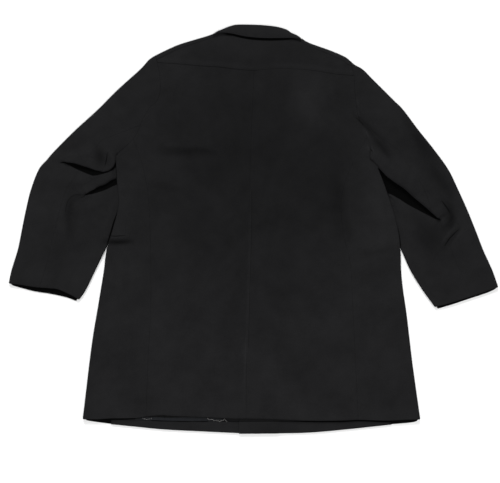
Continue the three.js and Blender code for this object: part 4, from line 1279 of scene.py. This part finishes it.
def stand_piece(name):
    """One end of the stand, which carries on round the neck of a front."""
    side = SIDES[name]
    across = np.linspace(0, 1, STAND_END_COLUMNS + 1)
    down = np.linspace(0, 1, STAND_END_ROWS + 1)[:, None, None]
    seam = drawn(side["neckline"], np.linspace(0, STAND_END, STAND_END_COLUMNS + 1))
    plan = drawn_back(between(seam, drawn(side["stand_edge"], across), down), ["top"], SEAM)
    return cloth(f"wool_collar_stand_{name}", lifted(plan, level_at(REST_LEVEL)))


stands = {name: stand_piece(name) for name in SIDES}

# %% [markdown]
# ## The lining
# A strip of satin lining shows between the hem of the back and the turned-up hem of the front. Satin is
# thin and slippery, so it lies in small ripples that catch the light in points.

# %% Lining strip
LINING_TOP = [[-290, -420], [-180, -418], [-70, -420]]
LINING_EDGE = [[-290, -466], [-235, -468], [-150, -469.5], [-70, -467]]
LINING_COLUMNS, LINING_ROWS = 120, 24
LINING_WALL = 0.7
LINING_LEVEL = 4.0
LINING_RISE = 1.5      # towards its lower edge, which rests on the turned-up hem
RIPPLE_HEIGHT = 0.35
RIPPLE_LENGTH = 2.9    # mm for each radian
RIPPLE_DRIFT = (1.7, 17)


def lining_piece():
    """The strip of lining, whose ripples grow towards its lower edge."""
    across = np.linspace(0, 1, LINING_COLUMNS + 1)
    down = np.linspace(0, 1, LINING_ROWS + 1)[:, None]
    plan = between(drawn(LINING_TOP, across), drawn(LINING_EDGE, across), down[..., None])
    x = plan[..., 0]
    drift, drift_length = RIPPLE_DRIFT
    ripple = RIPPLE_HEIGHT * np.sin(x / RIPPLE_LENGTH + drift * np.sin(x / drift_length)) * down ** 2
    grid = lifted(plan, lambda at: LINING_LEVEL + LINING_RISE * down ** 3 + ripple)
    # The lining is painted dark, as shadow, just below the back's hem.
    return cloth("satin_lining", grid, free=["bottom"], shade=np.zeros(x.shape),
                 hollow=hem_hollow("left", plan), wall=LINING_WALL)


lining = lining_piece()
pieces_made = [yoke, *back_panels.values(), *side_panels.values(), *front_panels.values(),
               *[part for sleeve in sleeves.values() for part in sleeve.values()], collar,
               *stands.values(), lining]

# %% [markdown]
# ## Melton wool
# Melton is a twill that is milled until it felts, then brushed and sheared. What is left is a short nap
# with only a hint of the weave. The nap is built once, as a node group, from stretched noise along the
# grain with a faint twill under it, and each material places the group with its own values. The group's
# colour also carries the painted shade and shadow from the marks on the mesh.

# %% Small helpers for node trees
def set_inputs(made, values):
    """Sets a node's unlinked inputs. An underscore in a key stands for a space."""
    for key, value in values.items():
        made.inputs[key.replace("_", " ")].default_value = value
    return made


def node(tree, kind, settings=None, **values):
    """A new node with its settings and its unlinked inputs."""
    made = tree.nodes.new(kind)
    for key, value in (settings or {}).items():
        setattr(made, key, value)
    return set_inputs(made, values)


def pattern(tree, kind, at, **values):
    """A texture or mapping node that reads the given coordinates."""
    made = node(tree, kind, **values)
    tree.links.new(at, made.inputs["Vector"])
    return made


def placed(tree, group, **values):
    """A node group placed in a tree with its own values."""
    made = tree.nodes.new("ShaderNodeGroup")
    made.node_tree = group
    return set_inputs(made, values)


def maths(tree, operation, first, second):
    """One sum on two sockets or numbers."""
    made = tree.nodes.new("ShaderNodeMath")
    made.operation = operation
    for socket, value in zip(made.inputs, (first, second)):
        if isinstance(value, (int, float)):
            socket.default_value = value
        else:
            tree.links.new(value, socket)
    return made.outputs[0]


def added(tree, first, *others):
    """The total of several sockets or numbers."""
    total = first
    for other in others:
        total = maths(tree, "ADD", total, other)
    return total


def ranged(tree, value, low, high, to_low, to_high):
    """A socket's value, brought from one range to another."""
    made = node(tree, "ShaderNodeMapRange", From_Min=low, From_Max=high, To_Min=to_low, To_Max=to_high)
    tree.links.new(value, made.inputs["Value"])
    return made.outputs["Result"]


def scaled(tree, colour, factor, target):
    """A colour made darker or lighter by a factor, led to a socket."""
    made = node(tree, "ShaderNodeVectorMath", {"operation": "SCALE"})
    tree.links.new(colour, made.inputs[0])
    tree.links.new(factor, made.inputs["Scale"])
    tree.links.new(made.outputs["Vector"], target)


def new_group(name, inputs, outputs):
    """An empty node group with its named sockets, and the nodes at its two ends."""
    group = bpy.data.node_groups.new(name, "ShaderNodeTree")
    for label, kind, value in inputs:
        socket = group.interface.new_socket(name=label, in_out="INPUT", socket_type=kind)
        socket.default_value = value
    for label, kind in outputs:
        group.interface.new_socket(name=label, in_out="OUTPUT", socket_type=kind)
    return group, group.nodes.new("NodeGroupInput"), group.nodes.new("NodeGroupOutput")


# %% The painted shade and shadow of folds, edges and patches, as a node group
painted_shade_group, fold_in, fold_out = new_group(
    "painted_shade_and_shadow", [("Hollow Shade", "NodeSocketFloat", 0.95)], [("Lit", "NodeSocketFloat")])
marks = {name: node(painted_shade_group, "ShaderNodeAttribute", {"attribute_name": name}).outputs["Fac"]
         for name in ("hollow", "shade", "beside crease", "crease width")}
# Inside a hollow or a sharp crease the colour is painted near black, as shadow; "shade" adds the painted
# shade and highlights.
in_crease = maths(painted_shade_group, "SUBTRACT", marks["crease width"],
                  maths(painted_shade_group, "ABSOLUTE", marks["beside crease"], 0))
in_hollow = maths(painted_shade_group, "MAXIMUM", ranged(painted_shade_group, marks["hollow"], -0.3, 1.2, 0.0, 1.0),
                  ranged(painted_shade_group, in_crease, -0.8, 0.6, 0.0, 1.0))
in_hollow = maths(painted_shade_group, "MULTIPLY", in_hollow, fold_in.outputs["Hollow Shade"])
lit = maths(painted_shade_group, "MULTIPLY", maths(painted_shade_group, "SUBTRACT", 1.0, marks["shade"]),
            maths(painted_shade_group, "SUBTRACT", 1.0, in_hollow))
painted_shade_group.links.new(lit, fold_out.inputs["Lit"])

# %% The nap, with the painted shade and shadow, as a node group
FIBRES_PER_METRE = (1500, 520, 1)  # the nap's fibres lie along the grain
TWILL_TURN = (0, 0, 1.1)
nap_and_shade_group, nap_in, nap_out = new_group(
    "melton_nap_and_painted_shade",
    [("Dye", "NodeSocketColor", (0.01, 0.01, 0.011, 1)), ("Mottle", "NodeSocketFloat", 0.18),
     ("Twill", "NodeSocketFloat", 0.25)],
    [("Color", "NodeSocketColor"), ("Roughness", "NodeSocketFloat"), ("Height", "NodeSocketFloat")])
on_cloth = node(nap_and_shade_group, "ShaderNodeUVMap", {"uv_map": "cloth"}).outputs["UV"]
in_space = node(nap_and_shade_group, "ShaderNodeTexCoord").outputs["Object"]
along_grain = pattern(nap_and_shade_group, "ShaderNodeMapping", on_cloth, Scale=FIBRES_PER_METRE).outputs["Vector"]
across_grain = pattern(nap_and_shade_group, "ShaderNodeMapping", on_cloth, Rotation=TWILL_TURN).outputs["Vector"]


def noise(at, scale, detail, roughness):
    made = pattern(nap_and_shade_group, "ShaderNodeTexNoise", at, Scale=scale, Detail=detail, Roughness=roughness)
    return made.outputs["Fac"]


fibres = noise(along_grain, 1.0, 3.0, 0.6)
tufts = noise(on_cloth, 260.0, 2.0, 0.55)
patches = noise(in_space, 11.0, 3.0, 0.5)
ruffles = noise(in_space, 48.0, 2.0, 0.5)
twill = pattern(nap_and_shade_group, "ShaderNodeTexWave", across_grain, Scale=360.0, Distortion=1.2, Detail=1.0)
lint = pattern(nap_and_shade_group, "ShaderNodeTexVoronoi", in_space, Scale=95.0)

mottle = added(nap_and_shade_group, ranged(nap_and_shade_group, patches, 0.3, 0.7, -1, 1),
               ranged(nap_and_shade_group, ruffles, 0.3, 0.7, -0.5, 0.5))
mottle = maths(nap_and_shade_group, "MULTIPLY", mottle, nap_in.outputs["Mottle"])
fibre_tone = ranged(nap_and_shade_group, fibres, 0.3, 0.7, -0.22, 0.22)
tuft_tone = ranged(nap_and_shade_group, tufts, 0.3, 0.7, -0.12, 0.12)
lint_tone = ranged(nap_and_shade_group, lint.outputs["Distance"], 0.0, 0.05, 0.7, 0.0)
tone = added(nap_and_shade_group, mottle, fibre_tone, tuft_tone, lint_tone, 1.0)
# The nap's tone is darkened by the painted shade and shadow.
tone = maths(nap_and_shade_group, "MULTIPLY", tone, placed(nap_and_shade_group, painted_shade_group).outputs["Lit"])
scaled(nap_and_shade_group, nap_in.outputs["Dye"], tone, nap_out.inputs["Color"])
nap_and_shade_group.links.new(ranged(nap_and_shade_group, tufts, 0.3, 0.7, 0.86, 1.0), nap_out.inputs["Roughness"])
twill_height = maths(nap_and_shade_group, "MULTIPLY", twill.outputs["Fac"], nap_in.outputs["Twill"])
nap_and_shade_group.links.new(added(nap_and_shade_group, fibres, tufts, twill_height), nap_out.inputs["Height"])
print("nap group:", len(nap_and_shade_group.nodes), "nodes, fold group:", len(painted_shade_group.nodes), "nodes")


# %% Materials
BLACK_DYE = (0.0102, 0.0102, 0.0107, 1)
NAP_RELIEF = 0.0004


def new_material(name, **values):
    """A material whose shader has the given values, with its node tree and its shader."""
    material = bpy.data.materials.new(name)
    material.use_nodes = True
    tree = material.node_tree
    return material, tree, set_inputs(tree.nodes["Principled BSDF"], values)


def wool_material(name, mottle, twill_share, bump):
    """Melton wool: the nap, with its painted shade and shadow, on a dull shader with a faint sheen."""
    material, tree, shader = new_material(
        name, Specular_IOR_Level=0.04, Sheen_Weight=0.016, Sheen_Roughness=0.45,
        Sheen_Tint=(0.55, 0.56, 0.6, 1))
    nap = placed(tree, nap_and_shade_group, Dye=BLACK_DYE, Mottle=mottle, Twill=twill_share)
    relief = node(tree, "ShaderNodeBump", Strength=bump, Distance=NAP_RELIEF)
    for source, target in ((nap.outputs["Color"], shader.inputs["Base Color"]),
                           (nap.outputs["Roughness"], shader.inputs["Roughness"]),
                           (nap.outputs["Height"], relief.inputs["Height"]),
                           (relief.outputs["Normal"], shader.inputs["Normal"])):
        tree.links.new(source, target)
    return material


def two_tones(tree, scale, detail, darker, lighter):
    """A colour that runs between two tones over fine noise."""
    noise = node(tree, "ShaderNodeTexNoise", Scale=scale, Detail=detail)
    ramp = node(tree, "ShaderNodeValToRGB")
    ramp.color_ramp.elements[0].color, ramp.color_ramp.elements[1].color = darker, lighter
    tree.links.new(noise.outputs["Fac"], ramp.inputs["Fac"])
    return ramp.outputs["Color"]


wool = wool_material("melton_wool", 0.13, 0.3, 0.5)
collar_wool = wool_material("pressed_collar_wool", 0.08, 0.35, 0.4)
satin, satin_tree, satin_shader = new_material("lining_satin", Roughness=0.45, Specular_IOR_Level=0.05)
satin_colour = two_tones(satin_tree, 900.0, 2.0, (0.005, 0.0055, 0.0065, 1), (0.011, 0.012, 0.014, 1))
# The satin's colour is darkened by the painted shade and shadow as well.
scaled(satin_tree, satin_colour, placed(satin_tree, painted_shade_group).outputs["Lit"],
       satin_shader.inputs["Base Color"])

for piece in pieces_made:
    material = satin if piece is lining else collar_wool if "collar" in piece.name else wool
    piece.data.materials.append(material)
print("materials:", sorted({piece.data.materials[0].name for piece in pieces_made}))

# %% [markdown]
# ## Stitches
# A row of stitches repeats one thing along a line, which is what Geometry Nodes are for. The tree turns a
# run of points into a curve, sets one small thread capsule at each pitch along it, turned and sized a
# little unevenly, and gives them the thread's material. The tree is made once. Each row then feeds it its
# own line and values, and is baked to a plain mesh, so nothing has to be worked out again later.

# %% The tree that sews
STITCH_INPUTS = [("Pitch", "NodeSocketFloat", 0.003), ("Stitch Length", "NodeSocketFloat", 0.0024),
                 ("Thread", "NodeSocketFloat", 0.0005), ("Waver", "NodeSocketFloat", 0.05),
                 ("Seed", "NodeSocketInt", 1), ("Thread Material", "NodeSocketMaterial", None)]
sewing = bpy.data.node_groups.new("sew_along", "GeometryNodeTree")
sewing.interface.new_socket(name="Geometry", in_out="INPUT", socket_type="NodeSocketGeometry")
sewing_sockets = {}
for label, kind, value in STITCH_INPUTS:
    socket = sewing.interface.new_socket(name=label, in_out="INPUT", socket_type=kind)
    if value is not None:
        socket.default_value = value
    sewing_sockets[label] = socket.identifier
sewing.interface.new_socket(name="Geometry", in_out="OUTPUT", socket_type="NodeSocketGeometry")
feed, result = sewing.nodes.new("NodeGroupInput"), sewing.nodes.new("NodeGroupOutput")
to_curve = sewing.nodes.new("GeometryNodeMeshToCurve")
to_points = node(sewing, "GeometryNodeCurveToPoints", {"mode": "LENGTH"})
capsule = node(sewing, "GeometryNodeMeshIcoSphere", Radius=0.5, Subdivisions=1)
long_way = sewing.nodes.new("ShaderNodeCombineXYZ")
waver = node(sewing, "FunctionNodeRandomValue", {"data_type": "FLOAT_VECTOR"},
             Min=(-1, -1, -1), Max=(1, 1, 1))
spread = node(sewing, "ShaderNodeVectorMath", {"operation": "SCALE"})
lean = sewing.nodes.new("FunctionNodeEulerToRotation")
turned = node(sewing, "FunctionNodeRotateRotation", {"rotation_space": "LOCAL"})
place_one = sewing.nodes.new("GeometryNodeInstanceOnPoints")
realize = sewing.nodes.new("GeometryNodeRealizeInstances")
smooth = sewing.nodes.new("GeometryNodeSetShadeSmooth")
colour = sewing.nodes.new("GeometryNodeSetMaterial")
for source, target in (
        (feed.outputs["Geometry"], to_curve.inputs["Mesh"]),
        (to_curve.outputs["Curve"], to_points.inputs["Curve"]),
        (feed.outputs["Pitch"], to_points.inputs["Length"]),
        (feed.outputs["Thread"], long_way.inputs["X"]),
        (feed.outputs["Thread"], long_way.inputs["Y"]),
        (feed.outputs["Stitch Length"], long_way.inputs["Z"]),
        (feed.outputs["Seed"], waver.inputs["Seed"]),
        (waver.outputs["Value"], spread.inputs[0]),
        (feed.outputs["Waver"], spread.inputs["Scale"]),
        (spread.outputs["Vector"], lean.inputs["Euler"]),
        (to_points.outputs["Rotation"], turned.inputs["Rotation"]),
        (lean.outputs["Rotation"], turned.inputs["Rotate By"]),
        (to_points.outputs["Points"], place_one.inputs["Points"]),
        (capsule.outputs["Mesh"], place_one.inputs["Instance"]),
        (turned.outputs["Rotation"], place_one.inputs["Rotation"]),
        (long_way.outputs["Vector"], place_one.inputs["Scale"]),
        (place_one.outputs["Instances"], realize.inputs["Geometry"]),
        (realize.outputs["Geometry"], smooth.inputs["Geometry"]),
        (smooth.outputs["Geometry"], colour.inputs["Geometry"]),
        (feed.outputs["Thread Material"], colour.inputs["Material"]),
        (colour.outputs["Geometry"], result.inputs["Geometry"])):
    sewing.links.new(source, target)


# %% Sew the rows
def thread_material(name, colour, roughness):
    """Thread in two close tones of one colour."""
    material, tree, shader = new_material(name, Roughness=roughness, Specular_IOR_Level=0.15)
    darker = (*[value * 0.75 for value in colour], 1)
    tree.links.new(two_tones(tree, 2500.0, 1.0, darker, (*colour, 1)), shader.inputs["Base Color"])
    return material


black_thread = thread_material("black_thread", (0.009, 0.009, 0.0095), 0.6)
pale_thread = thread_material("pale_thread", (0.5, 0.49, 0.47), 0.8)


def row_at(grid, edge, inset, above):
    """A line over a grid of cloth, a fixed way in from one of its edges and just above its face."""
    into = from_edge(grid, edge)
    normal = normals_of(grid)
    normal *= np.sign(normal[..., 2:])
    line = []
    for distances, points, ups in zip(into.T, np.swapaxes(grid, 0, 1), np.swapaxes(normal, 0, 1)):
        order = distances.argsort()
        raised = (points + ups * above)[order]
        line.append([np.interp(inset, distances[order], raised[:, axis]) for axis in range(3)])
    return np.array(line)


def sew(name, line, thread, **values):
    """Sews a row of stitches along a line in mm, and bakes it to a plain mesh."""
    mesh = bpy.data.meshes.new(name)
    mesh.from_pydata((line * MM).tolist(), [(k, k + 1) for k in range(len(line) - 1)], [])
    row = bpy.data.objects.new(name, mesh)
    bpy.context.scene.collection.objects.link(row)
    sewn = row.modifiers.new("sew", "NODES")
    sewn.node_group = sewing
    sewn[sewing_sockets["Thread Material"]] = thread
    for key, value in values.items():
        sewn[sewing_sockets[key.replace("_", " ")]] = value
    ready = row.evaluated_get(bpy.context.evaluated_depsgraph_get())
    baked = bpy.data.meshes.new_from_object(ready)
    row.modifiers.clear()
    row.data = baked
    baked.name = name
    print(f"{name}: {len(baked.polygons)} faces")
    return row


# %% The rows of stitches
ROW_INSET = 6                # mm from an edge to its topstitching
COLLAR_STITCH_LEVEL = 1.2    # half the collar's wall
TACK_LEVEL = 6.6
TOPSTITCH = {"Pitch": 0.003, "Stitch_Length": 0.0023, "Thread": 0.00045, "Waver": 0.06}
TACK = {"Pitch": 0.0034, "Stitch_Length": 0.0026, "Thread": 0.0009, "Waver": 1.0}
TACKS = {
    "lining_tacks_by_centre": [[-112, -463], [-108, -466.5], [-101, -465], [-96, -469], [-88, -467.5],
                               [-84, -470.5], [-75, -468], [-71, -465], [-66, -470]],
    "lining_tacks_by_side": [[-270, -463.5], [-262, -465.5], [-250, -464]],
}
yoke_row = row_at(cut_grids["wool_back_yoke"], "bottom", ROW_INSET, WALL / 2)
collar_fall = cut_grids["wool_collar"][:FALL_ROWS + 3, 6:-6]
collar_row = row_at(collar_fall, "top", ROW_INSET, COLLAR_STITCH_LEVEL)
stitch_rows = [("wool", sew("yoke_topstitch", yoke_row, black_thread, Seed=3, **TOPSTITCH)),
               ("collar_wool", sew("collar_topstitch", collar_row, black_thread, Seed=5, **TOPSTITCH))]
for seed, (name, points) in enumerate(TACKS.items(), start=11):
    tacks = lifted(np.array(points, float), level_at(TACK_LEVEL))
    stitch_rows.append(("lining", sew(name, tacks, pale_thread, Seed=seed, **TACK)))

# %% [markdown]
# ## Fixing the pieces to the imported coat
# Each dressed piece replaces the solid that it was drawn from: it is attached to the root, and the solid is
# hidden. The table lists each piece's cut: the size of the rectangle that it is cut from, and its area.

def declare(piece, node_name):
    """Attaches a piece of cloth to the root, and hides the solid that it replaces."""
    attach(piece, "root")
    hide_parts(node_name)


CUT = {
    # node: rectangle it is cut from (m), area (m2), what it lies on
    "back_yoke": ((0.50, 0.10), 0.030, ["front_left", "front_right"]),
    "back_left": ((0.29, 0.88), 0.214, ["front_left"]),
    "back_right": ((0.29, 0.88), 0.219, ["front_right"]),
    "side_left": ((0.27, 0.69), 0.118, ["front_left"]),
    "side_right": ((0.27, 0.69), 0.126, ["front_right"]),
    "front_left": ((0.42, 0.98), 0.32, ["floor"]),
    "front_right": ((0.42, 0.98), 0.305, ["floor"]),
    "sleeve_left_top": ((0.30, 0.68), 0.112, ["floor"]),
    "sleeve_left_under": ((0.30, 0.58), 0.095, ["floor"]),
    "sleeve_right_top": ((0.30, 0.68), 0.101, ["floor"]),
    "sleeve_right_under": ((0.30, 0.58), 0.098, ["floor"]),
    "collar": ((0.24, 0.09), 0.010, ["back_yoke"]),
    "collar_stand_left": ((0.12, 0.05), 0.003, ["floor"]),
    "collar_stand_right": ((0.12, 0.05), 0.003, ["floor"]),
    "lining": ((0.23, 0.055), 0.011, ["front_left"]),
}
by_node = {"lining": lining, "collar": collar, "back_yoke": yoke}
for name in SIDES:
    by_node[f"back_{name}"] = back_panels[name]
    by_node[f"side_{name}"] = side_panels[name]
    by_node[f"front_{name}"] = front_panels[name]
    by_node[f"collar_stand_{name}"] = stands[name]
    for part, piece in sleeves[name].items():
        by_node[f"sleeve_{name}_{part}"] = piece

for node_name, (flat, area, rests_on) in CUT.items():
    declare(by_node[node_name], node_name)
for slot, row in stitch_rows:
    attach(row, "root")
